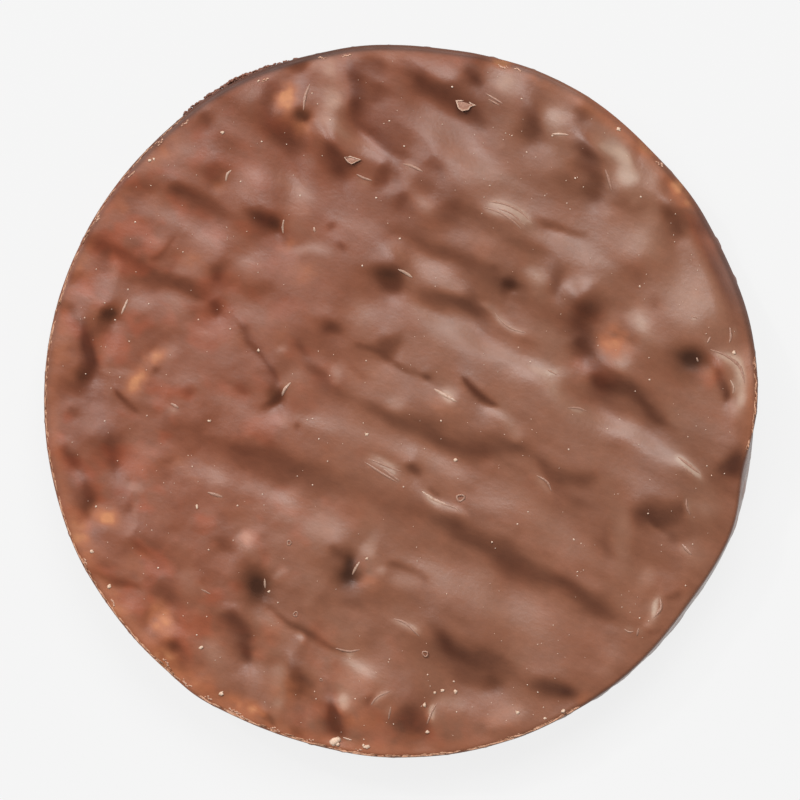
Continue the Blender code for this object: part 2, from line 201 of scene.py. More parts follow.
    (-0.9, 0.5, (-17.2, -38.7), (-15.8, -40.7)),
    (-0.5, 0.7, (-14.2, -41.2), (-11.8, -41.6)),
    # lower middle
    (-0.5, 0.8, (-9.3, -18), (-7.8, -18.8), (-6.8, -19.7)),
    (0.7, 1.2, (-4.8, -17.2), (-2.8, -18.6)),
    (0.8, 0.6, (-2.4, -20.3), (-2.7, -22)),
    (0.5, 0.8, (-2.1, -22), (0, -22.6), (2.4, -24)),
    (-0.45, 0.45, (-1.6, -20.1), (0.7, -21.3), (3.2, -23.2)),
    (0.5, 2.1, (-12.5, -14.2), (-9, -15.8), (-6, -17)),
    (0.6, 2.1, (-1, -18.8), (5, -22), (10, -24.5), (15, -27.5), (21, -30.2)),
    (-0.4, 1.1, (-5, -11.6), (0, -13), (4.5, -14.9)),
    (-0.9, 1.2, (3.5, -14.2), (7, -16.2), (10, -17.8), (13, -20), (16, -21.5), (20, -23.3), (24, -25.4), (27.7, -27)),
    (-0.3, 1.2, (-8.5, -25), (-4, -25.3), (0, -25.7)),
    (-1.0, 1.1, (2.6, -27.2), (4.6, -28.7), (5.8, -31), (8, -33), (10.6, -34.8), (12.4, -36.2)),
    (-0.6, 1.0, (8.5, -29.8), (12, -32.4), (14.3, -34.3)),
    (0.8, 0.5, (-1.1, -27), (0.5, -27.8), (2.2, -29.3)),
    (0.8, 1.0, (-7.8, -31.7), (-5.6, -32.8), (-3.2, -34.4)),
    (1.6, 0.95, (-8.1, -35.7), (-7.4, -37.3), (-7, -39.6)),
    (-1.2, 0.8, (-9.2, -37.4), (-8.4, -39.6), (-7.3, -42.4)),
    (0.7, 0.5, (-3.9, -38.1), (-3.1, -37), (-1.3, -36.2)),
    (-0.7, 1.1, (1.6, -37.8), (1.4, -40), (1.2, -42.8)),
    (0.9, 0.5, (4.6, -37.6), (3.9, -38.8), (3.2, -40.6)),
    (0.5, 1.2, (4.8, -37.3), (8.2, -38.2)),
    (0.7, 1.3, (11, -40.6), (13.6, -39.3), (15.6, -38.2)),
    (-0.8, 0.8, (15.7, -35.6), (18.5, -35.2), (20.6, -36), (22.2, -37.3)),
    # lower right
    (0.5, 1.1, (27.3, -13.6), (27.8, -17), (27.6, -20.5)),
    (0.5, 1.3, (29.3, -21.8), (31.8, -22.8)),
    (-0.35, 0.7, (25.5, -16.2), (25.4, -20.8)),
    (1.1, 0.5, (32.4, -24.3), (32.3, -26.2), (31.2, -27.4), (29.9, -28.3)),
    (-0.5, 0.5, (33.1, -25.2), (34.7, -24.6), (35.6, -23.2)),
    (-0.4, 0.4, (33.2, -28.6), (30.3, -28.8)),
    (0.4, 1.4, (26.6, -30), (26, -32.6), (24.3, -34.9)),
    (-0.5, 0.9, (33.2, -17.2), (36.6, -16.9)),
]

# Spots of the coat that fall towards the light or away from it, painted lighter or darker in the same way: x, y, half
# size across, along, turn, strength
SPOTS = [
    (-19.0, 28.0, 1.8, 2.0, 0, 0.7),
    (-13.0, 24.3, 1.6, 2.0, 0, 0.7),
    (-12.2, 35.6, 1.0, 0.9, 0, -1.2),
    (-13.6, 41.8, 1.1, 0.9, 0, -1.0),
    (-16.3, 38.0, 0.8, 1.6, -15, -0.5),
    (-14.1, 38.2, 0.9, 1.5, -20, 0.7),
    (-26.3, 17.0, 1.5, 1.6, 0, 0.6),
    (-22.9, 16.4, 1.1, 1.4, 0, -0.9),
    (-24.3, 20.4, 1.5, 1.2, 0, 0.5),
    (-19.2, 17.2, 1.5, 1.4, 0, 0.5),
    (-17.5, 14.0, 1.8, 1.2, 0, -0.3),
    (-36.2, 16.6, 0.6, 1.2, 10, 0.7),
    (-31.0, 20.0, 1.3, 1.2, 0, 0.4),
    (-39.8, 17.8, 0.9, 1.2, 0, 0.6),
    (-40.8, 15.6, 0.9, 0.8, 0, -0.8),
    (-38.8, 13.5, 1.4, 1.2, 0, 0.5),
    (-28.3, 12.3, 1.9, 1.6, 0, 0.6),
    (-41.2, 11.9, 1.0, 0.9, 0, -0.6),
    (-1.3, 42.3, 1.1, 1.2, 0, 0.5),
    (13.4, 40.1, 1.6, 1.7, 0, 1.2),
    (11.6, 41.7, 0.9, 0.7, -30, 0.6),
    (1.2, 27.8, 0.9, 1.4, 0, 0.7),
    (3.0, 24.5, 1.1, 1.4, 30, 0.8),
    (0.2, 25.2, 0.9, 1.2, 0, -0.4),
    (-8.7, 21.5, 0.7, 0.6, 0, -0.6),
    (-7.7, 18.8, 0.8, 0.5, -30, -0.7),
    (11.8, 16.5, 0.6, 0.6, 0, -0.35),
    (24.3, 26.6, 1.5, 1.4, 0, -0.8),
    (26.0, 34.1, 1.8, 1.2, -30, 0.5),
    (29.2, 28.4, 1.0, 0.9, 0, 0.5),
    (31.6, 27.6, 1.0, 1.6, 0, 0.6),
    (28.9, 25.0, 0.9, 0.8, 0, 0.4),
    (37.2, 22.6, 1.2, 2.4, 35, -0.6),
    (30.4, 20.6, 1.5, 2.3, 0, 0.7),
    (25.4, 23.2, 0.9, 0.7, 0, 0.3),
    (36.5, 13.0, 3.2, 4.6, 20, 0.8),
    (22.7, 14.8, 2.0, 1.1, 0, 0.7),
    (23.3, 10.8, 1.9, 1.6, 0, -0.9),
    (-13.2, 3.1, 1.0, 0.9, 0, 0.5),
    (-14.7, 6.0, 0.5, 0.5, 0, 0.7),
    (-19.6, 1.5, 1.1, 0.8, 0, -0.7),
    (-31.3, 5.2, 0.7, 0.5, 20, 1.0),
    (-29.0, 5.4, 1.0, 1.1, 0, 0.7),
    (-28.2, -0.6, 0.7, 0.5, -20, 0.7),
    (-26.5, 0.8, 1.1, 0.7, 0, -0.4),
    (-26.0, 8.0, 2.8, 2.2, 0, 0.3),
    (-29.0, -7.5, 0.9, 0.8, 0, -0.4),
    (-32.6, -8.0, 1.6, 1.5, 0, 0.5),
    (-39.0, -4.0, 1.2, 1.0, 0, 0.4),
    (-36.8, -14.8, 1.2, 1.1, -30, 0.7),
    (-33.8, -13.2, 0.8, 1.0, 0, -0.4),
    (-14.5, -13.2, 2.4, 1.7, 0, 0.4),
    (-8.8, 9.0, 1.1, 0.8, 0, -0.9),
    (-12.6, 6.6, 1.1, 0.8, -30, -0.5),
    (-4.8, 10.4, 1.9, 1.9, 0, 0.5),
    (-3.0, 3.4, 1.8, 1.5, 0, 0.25),
    (3.0, 2.9, 0.5, 0.4, 0, -0.7),
    (-14.9, -2.8, 0.9, 0.9, 0, 0.5),
    (-12.8, -3.0, 0.5, 0.4, 0, -0.5),
    (2.6, 10.9, 1.4, 1.2, 0, 0.3),
    (27.3, 5.4, 1.3, 1.9, 20, 0.3),
    (31.6, 12.6, 1.1, 1.1, 0, -0.4),
    (36.8, -1.5, 2.8, 2.2, 0, 0.1),
    (22.0, -12.6, 2.0, 1.2, 0, -0.3),
    (14.2, -4.5, 0.8, 0.7, -30, 0.4),
    (-21.9, -18.1, 1.3, 1.0, 0, -0.55),
    (-17.2, -17.6, 0.9, 0.8, 0, -0.4),
    (-33.4, -25.4, 1.0, 0.9, -30, 0.4),
    (-12.8, -29.3, 0.6, 0.5, -30, 1.0),
    (-4.3, -22.2, 1.1, 1.0, 0, 0.4),
    (1.0, -28.4, 1.0, 0.8, -30, 0.3),
    (11.4, -35.6, 1.3, 1.1, 0, -0.7),
    (20.7, -36.3, 1.0, 0.8, 0, -0.4),
    (-4.3, -37.0, 0.9, 0.9, 20, -0.5),
    (36.0, -20.2, 1.1, 1.1, 0, 0.4),
    (21.2, -18.4, 1.9, 1.6, 0, 0.3),
    (34.8, -13.4, 0.8, 0.9, 0, -0.4),
]

# Wide shallow areas, in the same way
AREAS = [
    (23.4, 28.6, 2.4, 3.4, 10, -0.45), (17.0, 33.5, 2.2, 3.0, 0, -0.26), (23.0, 10.8, 2.6, 2.0, 0, -0.45),
    (21.8, 7.0, 1.9, 3.0, 0, -0.26), (25.5, 2.8, 2.2, 1.8, -40, -0.3), (33.6, 22.2, 1.8, 2.8, 0, -0.12),
    (36.0, 5.2, 3.4, 2.4, 0, -0.45), (32.4, -14.6, 2.8, 1.8, 0, -0.3), (41.4, -8.0, 1.8, 2.6, 0, -0.45),
    (8.5, -32.6, 4.0, 2.2, -35, -0.26), (20.0, -36.3, 3.0, 1.4, -10, -0.26), (-18.0, -23.4, 2.2, 2.4, 0, -0.38),
    (-7.0, -21.8, 2.0, 2.4, 20, -0.38), (-2.6, 15.6, 3.4, 1.6, -10, -0.38), (13.5, 14.0, 2.0, 1.5, 0, -0.3),
    (-23.5, 14.5, 1.6, 3.0, 0, -0.22), (-17.0, 22.5, 3.0, 1.3, -25, -0.08), (-36.5, 10.8, 1.8, 1.4, 0, -0.3),
    (-16.0, 1.0, 1.6, 2.0, -30, -0.3), (-39.5, 5.5, 1.2, 3.2, 0, -0.22), (10.0, 35.0, 3.0, 2.4, -30, -0.26),
    (-12.5, 35.5, 1.6, 1.6, 0, -0.3), (-8.0, 30.0, 1.6, 3.0, 20, -0.26), (8.5, 23.5, 4.0, 2.2, -20, -0.19),
    (-21.0, -30.0, 1.8, 3.2, 0, -0.22), (-12.8, -34.0, 1.5, 4.2, 0, -0.28), (1.2, -40.0, 1.9, 3.6, 0, -0.28), (-7.6, -35.6, 1.2, 1.9, 0, 0.55), (4.2, -39.2, 0.9, 1.8, -20, 0.4),
    (-8.2, -39.6, 1.2, 3.2, 10, -0.34), (-28.5, -31.0, 1.8, 2.6, 30, -0.26), (36.5, 13.5, 3.2, 5.0, 20, 0.4),
    (26.2, 31.4, 3.4, 1.2, -42, 1.1), (29.6, 28.0, 3.2, 1.8, -20, 0.55), (19.6, 35.2, 1.8, 2.4, 0, 0.6), (13.6, 40.0, 2.0, 1.5, 0, 0.6),
    (5.0, 35.5, 3.4, 3.0, -30, 0.3), (4.0, 10.4, 3.2, 1.8, -25, 0.35), (18.0, 2.5, 4.0, 1.8, -40, 0.35),
    (24.0, -2.6, 4.0, 1.6, -25, 0.3), (30.0, 20.0, 3.0, 2.6, 0, 0.4), (22.8, 15.0, 2.4, 1.2, 0, 0.4),
    (29.8, 9.8, 1.4, 2.2, 10, 0.5), (41.0, 5.6, 2.4, 1.6, -30, 0.6), (-9.0, 39.0, 1.8, 5.0, 0, 0.7), (-5.6, 32.4, 3.4, 1.2, -30, 0.4), (-5.8, 40.5, 1.1, 3.4, 0, -0.35),
    (2.0, 17.0, 3.0, 1.6, -20, 0.3), (16.5, 15.5, 1.4, 2.2, 0, 0.3), (-14.5, 1.8, 1.0, 1.2, 0, 0.5),
    (-6.0, -37.0, 1.8, 3.0, 0, 0.4), (8.0, -38.5, 3.0, 1.6, 0, 0.3), (-5.6, -33.0, 3.0, 1.4, -25, 0.4),
    (-1.6, -9.0, 2.6, 1.2, -35, 0.5), (5.4, 0.8, 2.0, 0.8, -30, 0.5), (36.2, -8.2, 1.8, 0.9, -35, 0.6),
    (4.4, -12.3, 2.4, 0.9, -30, 0.5), (12.8, 24.0, 2.6, 1.1, -25, 0.7), (-18.9, -17.8, 1.3, 1.2, 0, 0.5),
    (-4.0, -19.6, 1.6, 2.2, 20, 0.4), (31.8, -26.4, 1.0, 1.8, 0, 0.5), (36.0, -18.8, 1.4, 1.0, -40, 0.4),
    (17.9, -10.1, 1.4, 1.0, -40, 0.4), (35.9, -13.4, 0.9, 1.4, 0, 0.4), (12.5, 9.4, 2.2, 1.0, -30, 0.4),
]

# Thin crisp ridges where the skin of the coat wrinkled, each with a soft painted highlight beside it in the coat's
# colour: half width, and the points that the ridge passes through
RIDGES = [
    (0.22, (38.6, 6.4), (40.6, 5.6), (42.3, 4.2), (42.9, 2.2)),
    (0.2, (-11.4, 39.6), (-12, 38), (-12.2, 36.2)),
    (0.16, (-5.6, 28.3), (-4.6, 27.8), (-3.6, 27.5)),
    (0.2, (0.2, 29.6), (1.3, 29.3), (2.7, 28.6)),
    (0.13, (10.6, 38.4), (12.7, 37.1)),
    (0.12, (10.9, 37.7), (12.3, 36.9)),
    (0.17, (10.6, 24.9), (13, 24.5), (15, 23.5), (16.5, 22)),
    (0.15, (10.2, 24.2), (12.2, 23.5), (13.8, 22.5), (15, 21.4)),
    (0.13, (12, 24), (13.8, 23.3), (15.6, 21.7)),
    (0.16, (25.5, 28.9), (25.9, 27.8), (26.3, 26.3)),
    (0.2, (-28.8, -0.3), (-27.8, -0.9)),
    (0.22, (-24.2, -11.4), (-22.3, -12)),
    (0.16, (11.7, 11), (12.6, 9.9), (13.9, 9), (15.6, 8.5)),
    (0.13, (-4.1, -7.2), (-2.2, -8), (-1, -8.5), (0.1, -8.8)),
    (0.16, (-4.6, -7.6), (-2.6, -8.9), (-0.4, -10.2)),
    (0.2, (-2.2, -8.5), (-0.9, -9.5), (-0.2, -10)),
    (0.16, (5.2, -12.9), (6.6, -13.3), (7.4, -13.9)),
    (0.16, (20.8, -0.9), (22, -0.9), (23.2, -1.3)),
    (0.13, (18.2, 3.9), (19.4, 3.3)),
    (0.2, (34.6, -7), (35.9, -8), (37.3, -9.1)),
    (0.14, (35.2, -8.2), (36.6, -9.3)),
    (0.16, (41.1, 9.2), (41.2, 8), (41, 7.2)),
    (0.15, (38.6, 8), (38.2, 7.2)),
    (0.13, (36.2, 10.6), (37, 10.3)),
    (0.16, (16.9, -9.3), (18.2, -10.1), (18.8, -11.3)),
    (0.15, (35.6, -12.2), (35.7, -13.3), (36.1, -14.2)),
    (0.22, (35.1, -17.9), (36.3, -19.2)),
    (0.2, (32.4, -24.6), (32.5, -25.9), (31.6, -27.1)),
    (0.12, (27.9, -28.5), (28.5, -28.9), (29.1, -28.8)),
    (0.13, (29.7, -28.4), (29.5, -29.4)),
    (0.16, (-8.2, -30.9), (-6.6, -31.3), (-5.2, -31.1)),
    (0.1, (-25, -23.5), (-23.8, -24.1)),
    (0.18, (-0.9, -27.2), (0.6, -27.8), (2.3, -29.4)),
    (0.16, (-3.8, -38), (-3, -37), (-1.4, -36.2)),
    (0.14, (-1.3, -38.2), (-1.6, -39.8)),
    (0.16, (4.5, -37.8), (3.8, -38.9), (3.2, -40.4)),
]
# Ridges that are sharper, with paler colours that paint their highlights, in the same way
CRISP_RIDGES = [
    (0.16, (-21.9, 27.4), (-21.7, 28.3), (-21.2, 28.8)),
    (0.15, (-14.75, 20.9), (-14.8, 21.8), (-14.65, 22.6)),
    (0.2, (-14.9, 0.6), (-14.5, 1.5), (-13.8, 2.3)),
    (0.16, (-35, 10.8), (-34.6, 11.7), (-34.2, 12.7)),
    (0.13, (-17.05, -22.2), (-17, -23.4)),
    (0.17, (-6.1, -21.7), (-5.7, -20.9), (-5.2, -20.1)),
    (0.2, (-0.4, 16.4), (0.5, 16), (1.4, 15.4)),
    (0.26, (4.1, 1.5), (5.4, 0.7), (6.9, -0.1)),
    (0.24, (2.6, -11.3), (4, -12.3), (5.6, -12.9)),
    (0.13, (36.9, 5.4), (37.1, 4.9)),
    (0.14, (-10.8, 21.1), (-10.9, 21.7)),
    (0.16, (18.8, 33.3), (19.8, 33.3), (20.9, 33.2)),
    (0.13, (-7.3, -42.1), (-6.2, -42.4)),
    (0.14, (41.1, 2.6), (41.5, 1.7), (41.4, 0.9)),
]

# Swells of the outline: angle in degrees, half width in degrees, rise
OUTLINE_SWELLS = [(15, 9, 0.2), (45, 8, -0.3), (83, 10, -0.35), (120, 9, 0.3), (205, 8, 0.15)]
OUTLINE_SWELLS += [(235, 5, 0.3), (253, 11, -0.25), (312, 10, 0.25), (338, 11, 0.45)]
RIM_SWELLS = [(349, 7, -0.9), (325, 24, -0.7)]

# Places where the top falls towards its rim: angle in degrees, half width in degrees, depth
FALLS = [(23, 12, 2.8), (40, 9, 0.8), (325, 24, 0.35)]
FALL_WIDTH = 3.6
# Shaded places along the rim: angle, half width in degrees, share of the colour lost
RIM_SHADES = [(23, 9, 0.55), (350, 8, 0.1)]
# The same for the wall alone, and where it shines
EDGE_SHADES = [(105, 45, 0.7), (20, 30, 0.45), (325, 30, 0.2), (180, 40, 0.15)]
WALL_GLOSS = [(325, 26, 1.0), (350, 8, 0.6)]

# Pits between grains that the coat did not fill: x, y, half across, half along, turn, depth
PITS = [
    (36.2, 5.2, 2.4, 1.8, -15, 1.0), (-18.0, -23.2, 1.8, 2.4, 15, 1.0), (-6.4, -20.0, 0.9, 1.2, 0, 0.8),
    (-6.7, -22.1, 1.7, 1.5, 0, 0.9), (-1.7, 15.7, 2.0, 0.9, -15, 0.6), (23.2, 10.9, 1.7, 1.5, 0, 0.5),
    (-36.2, 10.8, 1.3, 1.0, 0, 0.6), (-15.8, 0.6, 0.9, 1.2, 0, 0.5), (-15.6, 21.7, 0.9, 1.0, 30, 0.5),
    (14.0, 14.1, 1.1, 0.7, 0, 0.5), (-12.4, 35.8, 0.9, 0.8, 0, 0.5), (11.8, -35.5, 1.5, 1.3, 0, 0.5),
    (24.5, 26.8, 1.5, 1.5, 0, 0.3), (-39.9, 3.1, 0.8, 0.9, 0, 0.35), (-8.3, -40.0, 0.6, 1.8, 15, 0.35),
    (-28.4, -30.9, 0.8, 0.8, 0, 0.3), (33.3, 23.3, 1.2, 1.0, 0, 0.25),
]
PIT_SHADE = 0.88  # share of the colour lost in a pit a millimetre deep
PIT_DEPTH = 0.45  # share of that depth that the coat left open
# Darker and lighter areas of the coat: x, y, half across, half along, turn, share
TONES = [
    (-2, 38, 26, 9, 0, -0.08), (-40, 0, 14, 34, 0, -0.08), (-30, 28, 12, 10, 0, -0.04), (8, 26, 18, 10, 0, -0.05),
    (42.5, -3, 2.5, 8, 0, 0.12), (20, -30, 14, 10, 0, 0.05), (-24, -30, 10, 10, 0, 0.05), (36, -22, 10, 10, 0, 0.05),
    (-7, 21, 8, 7, 0, -0.10), (7, 21, 7, 7, 0, 0.06), (21, 21, 7, 7, 0, -0.07), (-21, 7, 8, 7, 0, -0.06),
    (7, 7, 7, 7, 0, -0.06), (22, 7, 7, 7, 0, -0.07), (7, -7, 7, 7, 0, 0.05), (35, -7, 7, 7, 0, -0.13),
    (-7, -35, 8, 7, 0, 0.07), (21, -35, 8, 7, 0, -0.05), (7, 35, 8, 7, 0, -0.07), (-21, 35, 8, 7, 0, -0.05),
]

# Places where the coat is thin and the puffed rice under it shows warm: x, y, half across, half along, turn, amount
WARM = [
    (-14.3, 38, 1.1, 1.9, -10, 1.9), (-12, 34.5, 1.6, 1.2, 20, 0.7), (-30, 31, 2.6, 1.6, 40, 0.4),
    (-23, 26.5, 1.5, 1.0, 0, 0.25), (-40, 17, 1.3, 2.0, 0, 0.5), (-33, 2.5, 1.7, 0.9, 55, 1.3),
    (-31.0, 5.3, 1.4, 0.8, 30, 1.6), (-14, 19.5, 1.0, 0.8, 0, 0.6), (-12, 16, 2.2, 1.6, 0, 0.3),
    (-26, 17.5, 2.0, 1.4, 0, 0.35), (-16, 9, 2.6, 1.6, 0, 0.25), (-9, -6.5, 2.6, 1.6, 0, 0.2),
    (-3, 3.5, 2.6, 1.6, 0, 0.2), (5, -0.5, 2.6, 1.6, 0, 0.15), (26.6, 7.6, 1.7, 1.8, 20, 1.1),
    (30.8, 31.8, 1.8, 0.8, -48, 1.1), (35.3, 26.2, 1.1, 1.9, 30, 1.8), (12.5, 42.2, 1.6, 0.6, -12, 1.3),
    (22.8, 38, 1.2, 1.0, 0, 0.4), (17, 40.5, 1.4, 0.8, -25, 0.4), (40.2, 19.4, 0.7, 1.2, 25, 1.3),
    (-37, -14.4, 1.6, 1.1, -30, 1.4), (-40, -17, 1.6, 2.4, 25, 0.9), (-36, -25, 1.8, 2.4, 30, 0.5),
    (-30.2, -27.2, 1.4, 2.0, 20, 1.3), (-29.5, -32.5, 1.5, 2.2, 35, 0.9), (-25, -35, 1.8, 1.4, -40, 0.7),
    (-19, -38.6, 2.9, 1.0, -25, 1.2), (-5, -40, 1.8, 1.0, 0, 0.6), (1, -42, 1.3, 0.8, 0, 0.5),
    (-4.3, -22.3, 1.3, 1.0, 0, 0.6), (38.4, 3.9, 0.9, 1.0, 0, 0.5), (23, -37.3, 1.0, 0.7, 35, 0.4),
    (-33, -20, 2.4, 1.6, -30, 0.35), (-42, 6, 1.2, 3.0, 0, 0.4), (-27, -8, 3.0, 1.6, -25, 0.2),
    (-22, 8, 2.0, 1.4, 0, 0.2), (-34, 24, 3.0, 2.0, 0, 0.3), (-38, 11, 2.2, 1.6, 0, 0.25),
    (-14, -36, 2.6, 2.0, 0, 0.35), (12, -40, 3.0, 1.2, 15, 0.35),
]
# Places where the coat looks redder: x, y, half across, half along, turn, amount
REDDER = [
    (-8, -41, 12, 3.5, 0, 0.5), (3, -41.5, 6, 2.5, 0, 0.4), (-29, -31, 3.5, 9, -45, 0.6), (26, 36.5, 1.4, 6, 52, 0.7),
    (38, 22, 1.5, 6, 30, 0.9), (-38, 18, 2, 8, -25, 0.35), (35, 27, 1.5, 3, 35, 0.5), (24, 3.5, 3, 2, -40, 0.5),
    (23, 10.5, 2.5, 2, 0, 0.5), (-15.3, 34.5, 3, 2, 0, 0.5), (8, 42.5, 4, 1, 0, 0.5), (38.5, 3.5, 1.6, 1.6, 0, 1.2),
    (-15, 20.5, 1.5, 1.5, 0, 0.6), (-5, -21.5, 1.5, 2, 0, 0.8),
]
# Places along the rim where the coat is thin: angle, half width in degrees, amount
WARM_RIM = [(185, 42, 0.6), (232, 22, 0.7), (268, 14, 0.5), (92, 14, 0.5), (52, 11, 0.9)]
WARM_RIM += [(36, 3, 0.7), (0, 9, 0.7)]

# ---------------------------------------------------------------- functions of the relief
LIGHT = math.radians(98)  # the side that the bands' signs refer to
FLOW = math.radians(-25)  # the way the streaks of the coat run
SPAN = 102.4  # width of the square grid that the relief is worked out on
CELLS = 512
UP_GAIN = 0.46
DOWN_GAIN = 0.88
PAINTED_SHADING_SHARE = 0.65  # how much of the strength painted shows as painted light and shade in the coat's colour
MISSED_SLOPE_SHADING_SHARE = 1.8  # the same for the slope that the relief can't have

GLINT_SHARE = 0.9  # the same, as painted highlights along the thin ridges
GLINT_WIDTH = 0.22
WANDER = 0.28  # how far the bands' edges wander, in millimetres

random = np.random.default_rng(4838)


def curve_through(points, step=0.7):
    """Points about a step apart along a smooth curve through the given points."""
    knots = [np.array(point, float) for point in points]
    knots = [2 * knots[0] - knots[1]] + knots + [2 * knots[-1] - knots[-2]]
    line = []
    for before, start, end, after in zip(knots, knots[1:], knots[2:], knots[3:]):
        count = max(2, int(np.linalg.norm(end - start) / step))
        for index in range(count):
            t = index / count
            bend = (2 * before - 5 * start + 4 * end - after) * t * t
            twist = (3 * start - before - 3 * end + after) * t * t * t
            line.append(0.5 * (2 * start + (end - before) * t + bend + twist))
    line.append(knots[-2])
    return np.array(line)


def smooth_step(value):
    value = np.clip(value, 0, 1)
    return value * value * (3 - 2 * value)


def paint_band(paint, x, y, strength, half_width, points):
    """Adds one band that fades out on both sides of its middle line and at both ends."""
    line = curve_through(points)
    reach = 3 * half_width
    near = (x > line[:, 0].min() - reach) & (x < line[:, 0].max() + reach)
    near &= (y > line[:, 1].min() - reach) & (y < line[:, 1].max() + reach)
    px, py = x[near], y[near]
    best = np.full(px.shape, np.inf)
    along = np.zeros(px.shape)
    done = 0.0
    for start, end in zip(line, line[1:]):
        run = end - start
        length = math.hypot(run[0], run[1])
        t = np.clip(((px - start[0]) * run[0] + (py - start[1]) * run[1]) / length**2, 0, 1)
        gap = (px - start[0] - t * run[0]) ** 2 + (py - start[1] - t * run[1]) ** 2
        along = np.where(gap < best, done + t * length, along)
        best = np.minimum(gap, best)
        done += length
    fade = min(0.5 * done, 3 * half_width)
    ends = smooth_step(along / fade + 0.2) * smooth_step((done - along) / fade + 0.2)
    width = half_width * (0.65 + 0.45 * np.sin(math.pi * np.clip(along / done, 0, 1)))
    paint[near] += strength * ends * np.exp(-best / width**2)


def spot(x, y, middle_x, middle_y, half_x, half_y, turn, strength):
    """One round or oval spot that fades out from its middle."""
    cosine = math.cos(math.radians(turn))
    sine = math.sin(math.radians(turn))
    u = ((x - middle_x) * cosine + (y - middle_y) * sine) / half_x
    v = ((y - middle_y) * cosine - (x - middle_x) * sine) / half_y
    return strength * np.exp(-(u * u + v * v))


def waves():
    wave = 2 * np.pi * np.fft.fftfreq(CELLS, SPAN / CELLS)
    return np.meshgrid(wave, wave)


def streaks(length, width, direction):
    """An even field of random streaks, of mean 0 and standard deviation 1."""
    wave_x, wave_y = waves()
    along = wave_x * math.cos(direction) + wave_y * math.sin(direction)
    across = wave_y * math.cos(direction) - wave_x * math.sin(direction)
    keep = np.exp(-0.5 * ((along * length) ** 2 + (across * width) ** 2))
    field = np.real(np.fft.ifft2(np.fft.fft2(random.standard_normal((CELLS, CELLS))) * keep))
    return (field - field.mean()) / field.std()


def heights_from_slopes(slope, sideways=0.5, drift=0.02):
    """The relief that falls by the given slope towards the light's side, and the part of the slope it leaves out."""
    wave_x, wave_y = waves()
    towards = wave_x * math.cos(LIGHT) + wave_y * math.sin(LIGHT)
    across = wave_y * math.cos(LIGHT) - wave_x * math.sin(LIGHT)
    share = towards / (towards**2 + (sideways * across) ** 2 + drift**2)
    spectrum = np.fft.fft2(slope)
    heights = np.real(np.fft.ifft2(1j * share * spectrum))
    return heights, np.real(np.fft.ifft2((1 - towards * share) * spectrum))


def relief_grids():
    """The heights of the top's relief, and the light and shade painted into the coat's colour at each place."""
    axis = (np.arange(CELLS) + 0.5) * SPAN / CELLS - SPAN / 2
    x, y = np.meshgrid(axis, axis)
    x = x + WANDER * streaks(1.3, 1.0, FLOW)
    y = y + WANDER * streaks(1.3, 1.0, FLOW)
    paint = np.zeros(x.shape)
    glints = np.zeros(x.shape)
    for strength, half_width, *points in BANDS:
        widen = 1.3 if strength < -0.3 and half_width > 0.6 else 1.0
        paint_band(paint, x, y, strength, half_width * widen, points)
    for row in SPOTS + AREAS:
        paint += spot(x, y, *row)
    for half_width, *points in RIDGES + CRISP_RIDGES:
        paint_band(glints, x, y, 1.0, GLINT_WIDTH + half_width, points)
    drawn = smooth_step((x + 0.4 * y + 24) / 22)  # 0 over the lumpy left, 1 where the coat was drawn out
    paint *= 1 + 0.2 * streaks(3.0, 0.7, FLOW)
    fine = 0.04 * streaks(1.5, 0.35, FLOW) + 0.10 * streaks(5.0, 1.0, FLOW) + 0.02 * streaks(0.3, 0.25, FLOW)
    lumpy = 0.10 * streaks(1.2, 0.8, FLOW) + 0.05 * streaks(0.4, 0.3, 0)
    paint += drawn * fine + (1 - drawn) * (lumpy + 0.4 * fine)
    glints = np.minimum(glints, 1)
    slope = np.where(paint > 0, UP_GAIN * np.tanh(0.9 * paint), DOWN_GAIN * np.tanh(0.8 * paint) / 0.8)
    heights, missed = heights_from_slopes(slope)
    # The second grid is painted light and shade: the painted strength, the slope that the relief misses, and
    # highlights along the ridges
    return heights, PAINTED_SHADING_SHARE * paint + MISSED_SLOPE_SHADING_SHARE * (missed - missed.mean()) + GLINT_SHARE * glints


def sample(grid, x, y):
    """A grid's values between its points."""
    column = (x + SPAN / 2) * CELLS / SPAN - 0.5
    row = (y + SPAN / 2) * CELLS / SPAN - 0.5
    left = np.clip(np.floor(column).astype(int), 0, CELLS - 2)
    low = np.clip(np.floor(row).astype(int), 0, CELLS - 2)
    u = np.clip(column - left, 0, 1)
    v = np.clip(row - low, 0, 1)
    near = grid[low, left] * (1 - u) + grid[low, left + 1] * u
    far = grid[low + 1, left] * (1 - u) + grid[low + 1, left + 1] * u
    return near * (1 - v) + far * v


def swells(angle, table):
    """The sum of the table's swells at each angle."""
    total = np.zeros(np.shape(angle))
    for middle, half_width, rise in table:
        turn = (np.degrees(angle) - middle + 180) % 360 - 180
        total += rise * np.exp(-((turn / half_width) ** 2))
    return total


def edge_fall(x, y):
    """How far the top falls near its rim where the coat ran over the edge."""
    angle = np.arctan2(y, x)
    inside = rim(angle) - np.hypot(x, y)
    depth = swells(angle, FALLS)
    return depth * np.clip(1 - inside / FALL_WIDTH, 0, 1) ** 2


def spots(x, y, table):
    return sum(spot(x, y, *row) for row in table)


def top_height(grid, x, y):
    away = np.hypot(x, y) / RADIUS
    return TOP + CROWN * (1 - away**2) + sample(grid, x, y) - edge_fall(x, y) - PIT_DEPTH * spots(x, y, PITS)


def outline(angle):
    """The cake's radius at the foot of its wall."""
    return RADIUS + swells(angle, OUTLINE_SWELLS)


def rim(angle):
    """The radius at which the top ends and the round of the rim begins."""
    return outline(angle) - RIM + swells(angle, RIM_SWELLS)


